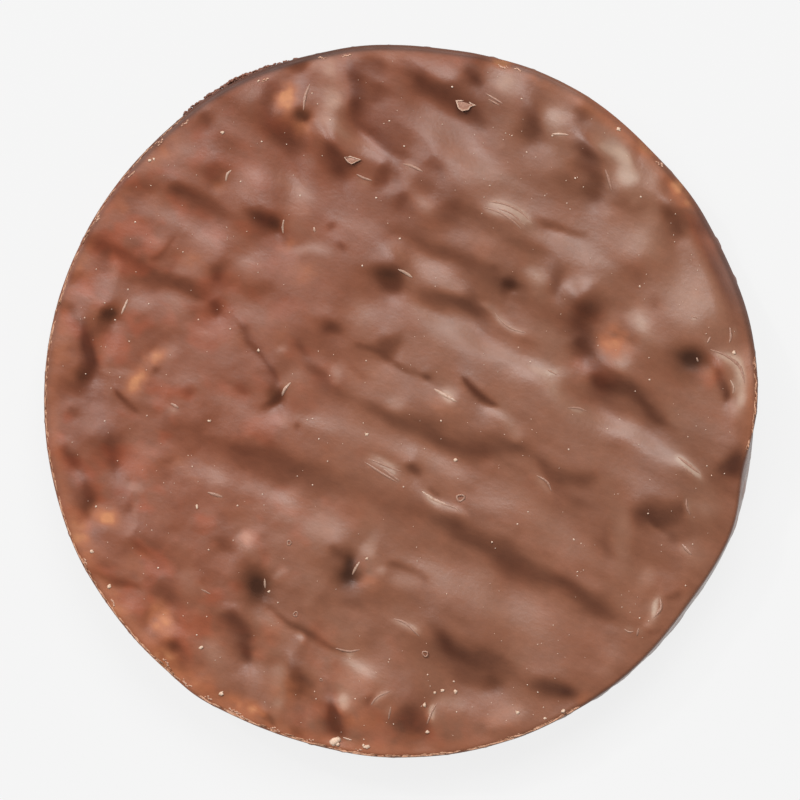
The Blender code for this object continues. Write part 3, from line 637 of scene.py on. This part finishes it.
# ---------------------------------------------------------------- the cake's mesh
RINGS = 144  # rings of facets on the top
SIDES = 6 * RINGS
RIM_STEPS = 6
WALL_STEPS = 16
FOOT_STEPS = 4
CLEARANCE = 0.03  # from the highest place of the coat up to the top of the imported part's box
UNDER_RINGS = 68  # rings of facets underneath
UNDER_GRAIN = 3.4  # size of the grains whose tops rest on the plate
UNDER_DEPTH = 0.6  # depth of the hollows between them
UNDER_GAP = 0.03  # the lowest part of the coat underneath, above the plate


def fan_faces(first, rings):
    """Faces of rings round a middle point, the first ring with six points and each next one with six more."""
    faces = []
    for ring in range(1, rings + 1):
        for corner in range(6 * ring):
            sector, place = divmod(corner, ring)
            inner_count = max(1, 6 * (ring - 1))
            inner = first[ring - 1] + (sector * (ring - 1) + place) % inner_count
            next_inner = first[ring - 1] + (sector * (ring - 1) + place + 1) % inner_count
            outer = first[ring] + corner
            next_outer = first[ring] + (corner + 1) % (6 * ring)
            faces.append((inner, outer, next_outer))
            if place < ring - 1:
                faces.append((inner, next_outer, next_inner))
    return faces


def ring_angles(count):
    return 2 * math.pi * np.arange(count) / count


def lumps(across, up, size, seed):
    """Rounded lumps, one in each cell of a jittered grid, wrapping round after the last cell across."""
    jitter = np.random.default_rng(seed).uniform(-0.28, 0.28, (256, 64, 2))
    column = np.floor(across / size).astype(int)
    row = np.floor(up / size).astype(int)
    total = np.zeros(np.shape(across))
    for right in (-1, 0, 1):
        for above in (-1, 0, 1):
            near_column = column + right
            near_row = row + above
            shift = jitter[near_column % 256, near_row % 64]
            dx = across / size - near_column - 0.5 - shift[..., 0]
            dy = up / size - near_row - 0.5 - shift[..., 1]
            total += np.exp(-9 * (dx * dx + dy * dy))
    return np.sqrt(total)


def wall_lumps(angle, height):
    around = angle * 256 / (2 * math.pi)
    size = 2 * math.pi * RADIUS / 60
    big = lumps(angle / (2 * math.pi) * 60, height / size + 0.2, 1.0, 5) - 0.6
    small = lumps(angle / (2 * math.pi) * 256, height / 1.1, 1.0, 6) - 0.6
    return 0.8 * big + 0.15 * small


def wall_share(angle):
    """How much of the grains shows through the coat of the wall, least where the coat ran down thickly."""
    return 1 - 0.75 * np.clip(swells(angle, [(325, 40, 1.0)]), 0, 1)


def under_dimples(x, y):
    """How far the coat underneath stands clear of the plate: the hollows between its grains, from 0 up."""
    grains = lumps((x + 50) / UNDER_GRAIN, (y + 50) / UNDER_GRAIN, 1.0, 7)
    return UNDER_DEPTH * np.clip(1 - grains, 0, 1)


def cake_mesh():
    # depth here is the grid of painted light and shade for the coat's colour
    relief, depth = relief_grids()
    parts = [np.zeros((1, 3))]
    first = [0]
    count = 1
    for ring in range(1, RINGS + 1):
        angle = ring_angles(6 * ring)
        radius = rim(angle) * ring / RINGS
        parts.append(np.column_stack([radius * np.cos(angle), radius * np.sin(angle), np.zeros(angle.size)]))
        first.append(count)
        count += 6 * ring
    top = np.vstack(parts)
    too_high = top_height(relief, top[:, 0], top[:, 1]).max() - (HIGH[2] - CLEARANCE)
    relief -= too_high
    top[:, 2] = top_height(relief, top[:, 0], top[:, 1])
    faces = fan_faces(first, RINGS)
    angle = ring_angles(SIDES)
    edge = top[-SIDES:, 2]
    rows = []
    steep = 1.6 * np.clip(swells(angle, FALLS), 0, None) / FALL_WIDTH
    for step in range(1, RIM_STEPS + 1):
        turn = math.pi / 2 * step / RIM_STEPS
        drop = RIM * (1 - math.cos(turn)) + steep * RIM * math.sin(turn)
        rows.append((rim(angle) + RIM * math.sin(turn), edge - drop))
    for step in range(1, WALL_STEPS + 1):
        part = step / WALL_STEPS
        height = (edge - RIM * (1 + steep)) * (1 - part) + FOOT * part
        radius = (rim(angle) + RIM) * (1 - part) + outline(angle) * part + BULGE * math.sin(math.pi * part)
        hollow = smooth_step(1.6 * math.sin(math.pi * part))
        radius += (wall_lumps(angle, height) - 0.35) * hollow * wall_share(angle)
        rows.append((radius, height))
    for step in range(1, FOOT_STEPS + 1):
        turn = math.pi / 2 * step / FOOT_STEPS
        drop = (FOOT - UNDER_GAP) * math.sin(turn)
        rows.append((outline(angle) - FOOT * (1 - math.cos(turn)), FOOT - drop + 0 * angle))
    points = [top]
    upper = first[RINGS]
    for radius, height in rows:
        points.append(np.column_stack([radius * np.cos(angle), radius * np.sin(angle), height + 0 * angle]))
        lower = count
        count += SIDES
        for corner in range(SIDES):
            after = (corner + 1) % SIDES
            faces.append((upper + corner, lower + corner, lower + after, upper + after))
        upper = lower
    # underneath
    under_first = []
    under = []
    for ring in range(UNDER_RINGS, -1, -1):
        n = max(1, 6 * ring)
        a = ring_angles(n)
        r = (outline(a) - FOOT) * 0.985 * ring / UNDER_RINGS
        x, y = r * np.cos(a), r * np.sin(a)
        under.append(np.column_stack([x, y, UNDER_GAP + under_dimples(x, y)]))
        under_first.append(count)
        count += n
    under_first = under_first[::-1]
    points += under
    outer_n = 6 * UNDER_RINGS
    base = under_first[UNDER_RINGS]
    for corner in range(SIDES):
        inner = base + int(round(corner / SIDES * outer_n)) % outer_n
        after = (corner + 1) % SIDES
        inner_after = base + int(round((corner + 1) / SIDES * outer_n)) % outer_n
        faces.append((upper + corner, inner, upper + after))
        if inner != inner_after:
            faces.append((upper + after, inner, inner_after))
    faces += [tuple(reversed(face)) for face in fan_faces(under_first, UNDER_RINGS)]
    return np.vstack(points), faces, relief, depth


class Nodes:
    """Short calls that add and link the nodes of one material."""

    def __init__(self, name):
        self.material = bpy.data.materials.new(name)
        self.material.use_nodes = True
        self.tree = self.material.node_tree
        self.shader = self.tree.nodes["Principled BSDF"]
        self.place = self.tree.nodes.new("ShaderNodeTexCoord").outputs["Object"]

    def node(self, kind, **settings):
        node = self.tree.nodes.new(kind)
        for name, value in settings.items():
            setattr(node, name, value)
        return node

    def link(self, source, target):
        self.tree.links.new(source, target)

    def attribute(self, name):
        return self.node("ShaderNodeAttribute", attribute_name=name).outputs["Fac"]

    def noise(self, size, detail=2.0, roughness=0.5, stretch=None):
        """Noise from 0 to 1 whose lumps are about the given size in millimetres."""
        place = self.place
        if stretch:
            mapping = self.node("ShaderNodeMapping", vector_type="TEXTURE")
            mapping.inputs["Rotation"].default_value = (0, 0, FLOW)
            mapping.inputs["Scale"].default_value = stretch
            self.link(place, mapping.inputs["Vector"])
            place = mapping.outputs["Vector"]
        noise = self.node("ShaderNodeTexNoise")
        noise.inputs["Scale"].default_value = 1 / (size * MM)
        noise.inputs["Detail"].default_value = detail
        noise.inputs["Roughness"].default_value = roughness
        self.link(place, noise.inputs["Vector"])
        return noise.outputs["Fac"]

    def spread(self, value, low, high, low_in=0.3, high_in=0.7):
        """Maps a value's middle range to a new range."""
        spread = self.node("ShaderNodeMapRange")
        spread.inputs["From Min"].default_value = low_in
        spread.inputs["From Max"].default_value = high_in
        spread.inputs["To Min"].default_value = low
        spread.inputs["To Max"].default_value = high
        self.link(value, spread.inputs["Value"])
        return spread.outputs["Result"]

    def combine(self, operation, first, second):
        combine = self.node("ShaderNodeMath", operation=operation)
        for value, socket in ((first, combine.inputs[0]), (second, combine.inputs[1])):
            if isinstance(value, (int, float)):
                socket.default_value = value
            else:
                self.link(value, socket)
        return combine.outputs["Value"]

    def blend(self, factor, first, second):
        """A colour between the first and the second, each a colour or another node's output."""
        blend = self.node("ShaderNodeMix", data_type="RGBA")
        self.link(factor, blend.inputs["Factor"])
        for value, socket in ((first, blend.inputs["A"]), (second, blend.inputs["B"])):
            if isinstance(value, tuple):
                socket.default_value = value
            else:
                self.link(value, socket)
        return blend.outputs["Result"]

    def scale(self, colour, factor):
        scale = self.node("ShaderNodeVectorMath", operation="SCALE")
        self.link(colour, scale.inputs[0])
        self.link(factor, scale.inputs["Scale"])
        return scale.outputs["Vector"]

    def times(self, colour, tint):
        times = self.node("ShaderNodeVectorMath", operation="MULTIPLY")
        self.link(colour, times.inputs[0])
        self.link(tint, times.inputs[1])
        return times.outputs["Vector"]

    def bump(self, height, distance, strength=1.0):
        bump = self.node("ShaderNodeBump")
        bump.inputs["Strength"].default_value = strength
        bump.inputs["Distance"].default_value = distance * MM
        self.link(height, bump.inputs["Height"])
        self.link(bump.outputs["Normal"], self.shader.inputs["Normal"])


# The coat's own colour, then the deep, pale and bright colours that paint its shade, light and highlights
MILK = (0.236, 0.0795, 0.0425, 1)
MILK_SHADED = (0.115, 0.031, 0.0145, 1)
MILK_LIT = (0.272, 0.111, 0.067, 1)
MILK_HIGHLIGHT = (0.42, 0.245, 0.18, 1)
MILK_WARM = (0.37, 0.118, 0.048, 1)
MILK_AMBER = (0.53, 0.21, 0.09, 1)
# A painted sheen across the coat: the right half is tinted greyer and the left half warmer
TINT_LEFT = (1.0, 0.925, 0.84, 1)
TINT_RIGHT_SHEEN = (1.0, 1.13, 1.12, 1)
TINT_NONE = (1.0, 1.0, 1.0, 1)
TINT_RED = (1.3, 1.05, 0.95, 1)


def chocolate():
    kit = Nodes("milk_chocolate_coat")
    thin = kit.attribute("thin")
    body = kit.attribute("body")
    # Painted shade, light and highlights from the body attribute
    base = kit.blend(kit.spread(body, 1, 0, -1.5, 0), MILK, MILK_SHADED)
    base = kit.blend(kit.spread(body, 0, 1, 0, 1), base, MILK_LIT)
    base = kit.blend(kit.spread(body, 0, 1, 1, 2.2), base, MILK_HIGHLIGHT)
    # Painted sheen: greyer towards the right
    base = kit.times(base, kit.blend(kit.attribute("right"), TINT_LEFT, TINT_RIGHT_SHEEN))
    base = kit.times(base, kit.blend(kit.attribute("red"), TINT_NONE, TINT_RED))
    warm = kit.blend(thin, base, MILK_WARM)
    warm = kit.blend(kit.spread(thin, 0, 1, 1, 2), warm, MILK_AMBER)
    cloudy = kit.spread(kit.noise(3, 4, 0.65), 0.92, 1.08)
    mottle = kit.combine("MULTIPLY", cloudy, kit.spread(kit.noise(0.5, 3, 0.6, (2.5, 1, 1)), 0.96, 1.04))
    shade = kit.combine("MULTIPLY", kit.attribute("tone"), mottle)
    kit.link(kit.scale(warm, shade), kit.shader.inputs["Base Color"])
    dull = kit.spread(kit.noise(2.2, 3, 0.6, (3, 1, 1)), -0.06, 0.06)
    satin = kit.combine("MULTIPLY_ADD", thin, 0.15)
    satin.node.inputs[2].default_value = 0.41
    glossy = kit.combine("MULTIPLY", kit.attribute("wall"), 0.2)
    rough = kit.combine("SUBTRACT", kit.combine("ADD", satin, dull), glossy)
    kit.link(rough, kit.shader.inputs["Roughness"])
    kit.shader.inputs["Specular IOR Level"].default_value = 0.45
    fine = kit.noise(0.5, 3, 0.6, (1.3, 1, 1))
    kit.bump(fine, 0.03)
    return kit.material


points, faces, relief, depth = cake_mesh()
box_low, box_high = points.min(axis=0), points.max(axis=0)
flat_x, flat_y = points[:, 0].copy(), points[:, 1].copy()
angle = np.arctan2(flat_y, flat_x)
away = np.hypot(flat_x, flat_y) / outline(angle)
thin = spots(flat_x, flat_y, WARM)
ragged = 1 + 0.45 * sample(streaks(0.8, 0.6, FLOW), flat_x, flat_y)
ragged += 0.3 * sample(streaks(0.3, 0.25, FLOW), flat_x, flat_y)
rim_share = smooth_step((away - 0.945) / 0.035)
thin = np.clip(thin * ragged, 0, 2) + rim_share * swells(angle, WARM_RIM) * 0.7
left_share = smooth_step((-flat_x - 0.2 * flat_y + 2) / 40)
red = sample(streaks(1.5, 1.1, FLOW) + 0.5 * streaks(0.5, 0.4, FLOW), flat_x, flat_y)
red = (0.08 + 0.5 * left_share) * np.clip(red - 0.1, 0, 1.6)
red += spots(flat_x, flat_y, REDDER) * ragged
# body: the painted light, shade and highlights of the top
body = sample(depth, flat_x, flat_y) * (away < 0.99)
right = smooth_step((flat_x - 0.5 * flat_y + 22) / 26)
tone = np.ones(len(points))
# The rim's painted shade is also tinted redder
dark_rim = swells(angle, RIM_SHADES) * smooth_step((away - 0.925) / 0.035)
tone *= 1 - dark_rim
red += 1.6 * dark_rim
below = smooth_step((points[:, 2] - 3.0) / 3.5)
thin *= below
tone = 1 - (1 - tone) * below
tone *= 1 + spots(flat_x, flat_y, TONES) * below
# Painted shade in the pits: darker, and warmer through the thin attribute
hollow = np.clip(spots(flat_x, flat_y, PITS), 0, 0.9) * (points[:, 2] > 4)
tone *= 1 - PIT_SHADE * hollow
thin += 0.5 * hollow
MIDDLE = (box_low + box_high)[:2] / 2
STRETCH = ((HIGH - LOW) / (box_high - box_low))[:2]
points[:, :2] = (points[:, :2] - MIDDLE) * STRETCH + (HIGH + LOW)[:2] / 2
mesh = bpy.data.meshes.new("coated_cake")
mesh.from_pydata((points * MM).tolist(), [], faces)
mesh.shade_smooth()
wall = smooth_step((away - 0.975) / 0.015)
# On the wall the colour is lighter and warmer on the lumps, where grains show through the thin coat, and darker
# between them as painted shade
grain = wall_lumps(angle, points[:, 2]) * (1 - below)
tone *= 1 + 0.9 * (grain - 0.05)
thin += 0.9 * np.clip(grain - 0.05, 0, 0.4)
tone *= 1 - wall * np.clip(swells(angle, EDGE_SHADES), 0, 1)
gloss = swells(angle, WALL_GLOSS) - 1.3 * np.clip(swells(angle, EDGE_SHADES), 0, 1)
wall = np.where(hollow > 0.1, hollow, wall * np.clip(gloss, -1.3, 1))
for name, values in (("thin", thin), ("tone", tone), ("wall", wall), ("body", body), ("right", right), ("red", red)):
    mesh.attributes.new(name, "FLOAT", "POINT").data.foreach_set("value", values.astype(np.float32))
mesh.materials.append(chocolate())
cake = bpy.data.objects.new("coated_cake", mesh)
bpy.context.collection.objects.link(cake)
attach(cake, "root")
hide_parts(NODE)

# ---------------------------------------------------------------- crumbs, specks, flakes and bubbles
# Crumbs of rice on the coat: x, y, half across, half along, turn
CRUMBS = [
    (-8.3, -42.6, 0.75, 0.5, 15), (-22.5, -36.6, 0.3, 0.25, 0), (-25, -30.8, 0.3, 0.2, 30),
    (18, -39.7, 0.2, 0.15, 0), (20.3, -38.8, 0.3, 0.2, 40), (14.6, -39, 0.25, 0.22, 0),
    (2.9, -38, 0.2, 0.25, 0), (5.2, -36.2, 0.25, 0.15, -20), (6.8, -36.4, 0.2, 0.3, 20),
    (4.2, -36.5, 0.18, 0.15, 0), (3.3, -41.4, 0.25, 0.2, 0), (-4.3, -43.2, 0.45, 0.2, 5),
    (6.8, -7.4, 0.22, 0.2, 0), (-4.3, -4.2, 0.22, 0.15, 40), (-25.5, -13.2, 0.15, 0.3, 10),
    (27.2, 34, 0.25, 0.22, 0), (-31.4, 30, 0.22, 0.18, 0), (-30.9, 30.2, 0.15, 0.15, 0),
    (-38.7, -18.8, 0.25, 0.2, 0), (-36.5, -23.2, 0.3, 0.2, 60), (-24, -2.5, 0.18, 0.12, 0),
    (-17.8, 6.3, 0.15, 0.2, 0), (-22.3, 33.5, 0.22, 0.18, 0), (-16.5, -23.8, 0.18, 0.12, 50),
    (-4.3, -19.7, 0.15, 0.15, 0), (41.6, 6, 0.2, 0.25, 0), (-17.8, 39.9, 0.14, 0.12, 0),
]
# Bubbles in the coat: x, y, radius
BUBBLES = [(7.4, -12.1, 0.42), (3.0, -31.6, 0.32), (-10, -34.8, 0.16), (-14, -17.7, 0.26), (-13.2, -26.6, 0.26)]
# Flakes of chocolate lying on the coat: corners round each flake, its middle first
FLAKES = [
    [(7.9, 37), (6.8, 37.55), (7.6, 37.6), (8.5, 37.7), (8.75, 37.2), (9.4, 36.95), (8.7, 36.75), (8.4, 36.35),
     (7.6, 36.2), (7.1, 36.6)],
    [(-6.2, 30), (-7.2, 30.45), (-6.3, 30.5), (-5.6, 30.3), (-5.0, 30.1), (-5.7, 29.75), (-6.2, 29.5), (-6.7, 29.8)],
]
# Pale ragged bits of rice along the rim: angle in degrees, how far in from the rim, length, width
RIM_BITS = [
    (232.8, 0.4, 1.3, 0.35), (241.5, 0.5, 1.0, 0.3), (243.2, 0.3, 1.4, 0.35), (249, 0.4, 1.1, 0.4),
    (228, 0.7, 0.8, 0.3), (237, 0.6, 0.7, 0.25), (255, 0.4, 0.7, 0.25), (263, 0.5, 0.6, 0.2),
    (73, 0.8, 1.2, 0.35), (70.5, 0.5, 0.7, 0.3), (42.5, 0.3, 0.9, 0.35), (128, 0.8, 0.9, 0.2),
    (133, 0.5, 0.7, 0.2), (140, 0.6, 0.9, 0.2), (149, 0.4, 0.8, 0.2), (207, 0.5, 0.8, 0.25),
    (215, 0.6, 0.7, 0.25), (99, 0.9, 0.9, 0.2), (103, 0.6, 0.8, 0.2), (113, 1.3, 0.7, 0.2),
]

# Where a thin pale crust lines the edge of the rim: from and to which angle in degrees, size of its grains
CRUST = [(127, 160, 0.1), (160, 232, 0.14), (236, 300, 0.16), (352, 367, 0.1)]


def crumbly(name, colour, other, roughness, grain=0.15):
    """A rough material whose colour goes from one shade to another over each small piece."""
    kit = Nodes(name)
    kit.link(kit.blend(kit.spread(kit.noise(2 * grain), 0, 1), colour, other), kit.shader.inputs["Base Color"])
    kit.link(kit.spread(kit.noise(grain), roughness - 0.1, roughness + 0.1), kit.shader.inputs["Roughness"])
    kit.bump(kit.noise(0.5 * grain), 0.03)
    return kit.material


def unit_ball(detail):
    ball = bmesh.new()
    bmesh.ops.create_icosphere(ball, subdivisions=detail, radius=1)
    corners = np.array([vertex.co for vertex in ball.verts])
    sides = [tuple(vertex.index for vertex in face.verts) for face in ball.faces]
    ball.free()
    return corners, sides


def placed(point):
    """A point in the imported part's place."""
    point = np.array(point, float)
    point[..., :2] = (point[..., :2] - MIDDLE) * STRETCH + (HIGH + LOW)[:2] / 2
    return point


def add_piece(name, shapes, material, smooth=True):
    """One mesh made of many small shapes, each a pair of its corners and faces."""
    corners = []
    sides = []
    for shape_corners, shape_sides in shapes:
        start = len(corners)
        corners += placed(shape_corners).tolist()
        sides += [tuple(start + index for index in side) for side in shape_sides]
    piece_mesh = bpy.data.meshes.new(name)
    piece_mesh.from_pydata((np.array(corners) * MM).tolist(), [], sides)
    if smooth:
        piece_mesh.shade_smooth()
    piece_mesh.materials.append(material)
    piece = bpy.data.objects.new(name, piece_mesh)
    bpy.context.collection.objects.link(piece)
    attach(piece, "root")
    return piece


def lump(x, y, z, half_x, half_y, half_z, turn, roughness, detail=2):
    """One rough lump of rice or chocolate."""
    corners, sides = unit_ball(detail)
    push = 1 + roughness * random.uniform(-1, 1, len(corners))
    corners = corners * push[:, None] * (half_x, half_y, half_z)
    cosine, sine = math.cos(math.radians(turn)), math.sin(math.radians(turn))
    turned = corners @ np.array([[cosine, sine, 0], [-sine, cosine, 0], [0, 0, 1]])
    return turned + (x, y, z), sides


def surface(x, y):
    return float(top_height(relief, np.array([x]), np.array([y]))[0])


def pale_specks():
    shapes = []
    for index in range(420):
        spread = math.sqrt(random.uniform(0, 1)) if index % 4 else random.uniform(0.8, 1.0)
        bearing = random.uniform(0, 2 * math.pi)
        x, y = 42.6 * spread * math.cos(bearing), 42.6 * spread * math.sin(bearing)
        size = 0.05 + 0.09 * random.uniform(0, 1) ** 4
        shapes.append(lump(x, y, surface(x, y) + 0.02, size, size * random.uniform(0.7, 1.3), 0.06,
                           random.uniform(0, 180), 0.2, 1))
    return shapes


def rice_crumbs():
    shapes = []
    for x, y, half_x, half_y, turn in CRUMBS:
        flat = 0.5 * min(half_x, half_y)
        shapes.append(lump(x, y, surface(x, y) + 0.4 * flat, half_x, half_y, flat, turn, 0.25))
        for _ in range(3):
            side_x = x + random.uniform(-1, 1) * half_x
            side_y = y + random.uniform(-1, 1) * half_y
            small = random.uniform(0.25, 0.5) * half_x
            shapes.append(lump(side_x, side_y, surface(side_x, side_y) + 0.03, small, small, 0.7 * small, 0, 0.3, 1))
    return shapes


def rim_bits():
    shapes = []
    for bearing, inside, length, width in RIM_BITS:
        count = max(3, int(length / 0.16))
        for index in range(count):
            slide = (index / (count - 1) - 0.5) * length
            spread = random.uniform(-0.6, 0.6) * width
            here = math.radians(bearing) + slide / 44
            radius = float(rim(np.array(here))) + 0.8 * RIM - inside + spread
            x, y = radius * math.cos(here), radius * math.sin(here)
            size = random.uniform(0.07, 0.15)
            near = float(np.clip(radius, 0, float(rim(np.array(here))) - 0.1))
            height = surface(near * math.cos(here), near * math.sin(here))
            over = max(0.0, radius - near)
            height -= RIM - math.sqrt(max(0.0, RIM**2 - min(over, RIM) ** 2))
            shapes.append(lump(x, y, height, size * 1.6, size, 0.09, math.degrees(here) + 90, 0.3, 1))
    return shapes


def rim_crust():
    """The thin broken skin of coat that shows pale along the edge of the rim."""
    shapes = []
    for start, end, amount in CRUST:
        for index in range(int((end - start) * 6)):
            bearing = start + index / 6 + random.uniform(-0.1, 0.1)
            here = math.radians(bearing)
            gap = math.sin(3.1 * bearing + start) + math.sin(1.7 * bearing) + 0.8 * math.sin(0.6 * bearing)
            slide = random.uniform(-0.25, 0.12)
            size = random.uniform(0.4, 1.0) * amount
            longer = random.uniform(2.0, 9.0)
            if gap < -1.4:
                continue
            radius = float(rim(np.array(here))) + 0.55 * RIM + slide
            near = float(rim(np.array(here))) - 0.1
            height = surface(near * math.cos(here), near * math.sin(here)) - 0.2 * RIM
            shapes.append(lump(radius * math.cos(here), radius * math.sin(here), height, size * 0.7, size * longer,
                               size * 0.6, bearing, 0.2, 1))
    return shapes


def shaded_fringe():
    """Rough crumbs of coat that stick out along the upper left of the rim, coloured dark as painted shade."""
    shapes = []
    for index in range(260):
        bearing = float(np.clip(random.normal(118, 5), 107, 127))
        thick = 0.4 + 0.6 * math.exp(-(((bearing - 117) / 4) ** 2))
        thick += 0.5 * math.exp(-(((bearing - 126) / 1.0) ** 2))
        here = math.radians(bearing)
        size = random.uniform(0.1, 0.22)
        radius = float(outline(np.array(here))) + 0.05 + random.uniform(-0.25, 0.35) * thick
        height = 7.3 - min(3.0, 0.9 * abs(random.normal()))
        shapes.append(lump(radius * math.cos(here), radius * math.sin(here), height, size, size * 1.7, size,
                           bearing + random.uniform(-25, 25), 0.3, 1))
    return shapes


def bubble_rings():
    shapes = []
    for x, y, radius in BUBBLES:
        thick = 0.3 * radius
        corners = []
        sides = []
        around, about = 20, 8
        for i in range(around):
            a = 2 * math.pi * i / around
            for j in range(about):
                b = 2 * math.pi * j / about
                reach = radius * (1 + 0.12 * math.sin(2 * a + x) + 0.1 * math.sin(3 * a + y)) + thick * math.cos(b)
                corners.append((x + reach * math.cos(a), y + reach * math.sin(a),
                                surface(x, y) + 0.03 + thick * math.sin(b)))
                sides.append((i * about + j, (i + 1) % around * about + j,
                              (i + 1) % around * about + (j + 1) % about, i * about + (j + 1) % about))
        shapes.append((np.array(corners), sides))
    return shapes


def ring_of(corners, middle, share, height):
    """A flake's outline drawn in towards its middle, at one height."""
    ring = np.array(middle) + share * (np.array(corners) - middle)
    return np.column_stack([ring, np.full(len(ring), height)])


def chocolate_flakes():
    """The flakes' broken edges, which stand up pale, and the darker plates between them."""
    edges = []
    plates = []
    for middle, *corners in FLAKES:
        base = surface(*middle)
        n = len(corners)
        edge = [ring_of(corners, middle, share, base + height)
                for share, height in ((1.0, -0.05), (1.0, 0.2), (0.8, 0.22), (0.78, -0.05))]
        sides = []
        for row in range(4):
            for i in range(n):
                j = (i + 1) % n
                here, there = row * n, (row + 1) % 4 * n
                sides.append((here + j, here + i, there + i, there + j))
        edges.append((np.vstack(edge), sides))
        plate = np.vstack([ring_of(corners, middle, 0.79, base - 0.05), ring_of(corners, middle, 0.79, base + 0.12),
                           ring_of(corners, middle, 0.35, base + 0.15)])
        sides = [tuple(range(n))]
        for row in range(2):
            for i in range(n):
                j = (i + 1) % n
                sides.append((row * n + j, row * n + i, (row + 1) * n + i, (row + 1) * n + j))
        sides.append(tuple(2 * n + i for i in reversed(range(n))))
        plates.append((plate, sides))
    return edges, plates


def fine_ridges(table):
    """Thin tapering ridges, round above and sunk in the coat below."""
    shapes = []
    around = 8
    for half_width, *route in table:
        line = curve_through(route, 0.12)
        count = len(line)
        run = np.gradient(line, axis=0)
        run /= np.linalg.norm(run, axis=1)[:, None]
        base = top_height(relief, line[:, 0], line[:, 1])
        corners = []
        for index in range(count):
            taper = math.sin(math.pi * (index + 0.5) / count) ** 0.6
            wide = half_width * taper * random.uniform(0.85, 1.15)
            for step in range(around):
                turn = 2 * math.pi * step / around
                slide = wide * math.cos(turn)
                corners.append((line[index, 0] - run[index, 1] * slide, line[index, 1] + run[index, 0] * slide,
                                base[index] + 0.5 * wide * math.sin(turn)))
        sides = [tuple(range(around)), tuple((count - 1) * around + step for step in reversed(range(around)))]
        for index in range(count - 1):
            for step in range(around):
                after = (step + 1) % around
                here, there = index * around, (index + 1) * around
                sides.append((here + after, here + step, there + step, there + after))
        shapes.append((np.array(corners), sides))
    return shapes


flake_edges, flake_plates = chocolate_flakes()
add_piece("pale_specks", pale_specks(), crumbly("speck", (0.80, 0.62, 0.50, 1), (0.62, 0.42, 0.31, 1), 0.7))
add_piece("rice_crumbs", rice_crumbs(), crumbly("crumb", (0.74, 0.55, 0.42, 1), (0.60, 0.40, 0.28, 1), 0.7))
add_piece("rim_bits", rim_bits(), crumbly("rim_bit", (0.64, 0.39, 0.28, 1), (0.42, 0.20, 0.12, 1), 0.6))
# The fringe's dark colour is painted shade under the lip
add_piece("shaded_fringe", shaded_fringe(), crumbly("fringe", (0.13, 0.046, 0.027, 1), (0.24, 0.09, 0.052, 1), 0.6))
add_piece("bubble_rings", bubble_rings(), crumbly("bubble", (0.42, 0.25, 0.18, 1), (0.31, 0.15, 0.1, 1), 0.35))
add_piece("flake_edges", flake_edges, crumbly("flake_edge", (0.62, 0.42, 0.31, 1), (0.5, 0.3, 0.21, 1), 0.5), False)
add_piece("flake_plates", flake_plates, crumbly("flake", (0.31, 0.14, 0.09, 1), (0.40, 0.21, 0.145, 1), 0.5), False)
# The ridges' pale colours are painted highlights, palest on the crisp ones
add_piece("fine_ridges", fine_ridges(RIDGES), crumbly("ridge", (0.37, 0.2, 0.14, 1), (0.31, 0.155, 0.105, 1), 0.4))
add_piece("crisp_ridges", fine_ridges(CRISP_RIDGES), crumbly("crisp", (0.52, 0.35, 0.265, 1), (0.42, 0.24, 0.17, 1), 0.35))
add_piece("rim_crust", rim_crust(), crumbly("crust", (0.60, 0.34, 0.22, 1), (0.44, 0.2, 0.11, 1), 0.45, 0.3))

# ---------------------------------------------------------------- floor, light and camera
floor_mesh = bpy.data.meshes.new("floor")
floor_mesh.from_pydata([(-6, -6, 0), (6, -6, 0), (6, 6, 0), (-6, 6, 0)], [], [(0, 1, 2, 3)])
floor = bpy.data.objects.new("floor", floor_mesh)
bpy.context.collection.objects.link(floor)
fm = bpy.data.materials.new("floor")
fm.use_nodes = True
fs = fm.node_tree.nodes["Principled BSDF"]
fs.inputs["Base Color"].default_value = (0.07, 0.07, 0.07, 1)
fs.inputs["Roughness"].default_value = 1
fs.inputs["Specular IOR Level"].default_value = 0
fs.inputs["Emission Color"].default_value = (1, 1, 1, 1)
fs.inputs["Emission Strength"].default_value = 0.83
floor_mesh.materials.append(fm)


def area_light(name, azimuth, elevation, distance, size, power):
    light = bpy.data.lights.new(name, "AREA")
    light.shape = "DISK"
    light.size = size
    light.energy = power
    lamp = bpy.data.objects.new(name, light)
    bpy.context.collection.objects.link(lamp)
    azimuth, elevation = math.radians(azimuth), math.radians(elevation)
    flat = distance * math.cos(elevation)
    lamp.location = (flat * math.cos(azimuth), flat * math.sin(azimuth), distance * math.sin(elevation))
    lamp.rotation_euler = (-Vector(lamp.location)).to_track_quat("-Z", "Y").to_euler()


area_light("key", 82, 49, 3.0, 1.8, 70)
area_light("left", 150, 52, 3.0, 1.8, 36)
area_light("glint", 140, 40, 3.0, 0.24, 20)

world = bpy.data.worlds.new("studio")
bpy.context.scene.world = world
world.use_nodes = True
world.node_tree.nodes["Background"].inputs["Color"].default_value = (1, 1, 1, 1)
world.node_tree.nodes["Background"].inputs["Strength"].default_value = 0.22

VIEW_WIDTH = 800 * 45 / 358  # millimetres across the picture
LENS = 200
camera = bpy.data.cameras.new("camera")
camera.lens = LENS
camera.sensor_width = 36
camera_object = bpy.data.objects.new("camera", camera)
bpy.context.collection.objects.link(camera_object)
camera_object.location = (-0.14 * MM, 0.22 * MM, (VIEW_WIDTH * LENS / 36 + 7.5) * MM)
camera.clip_end = 10
bpy.context.scene.camera = camera_object
bpy.context.scene.view_settings.view_transform = "Standard"
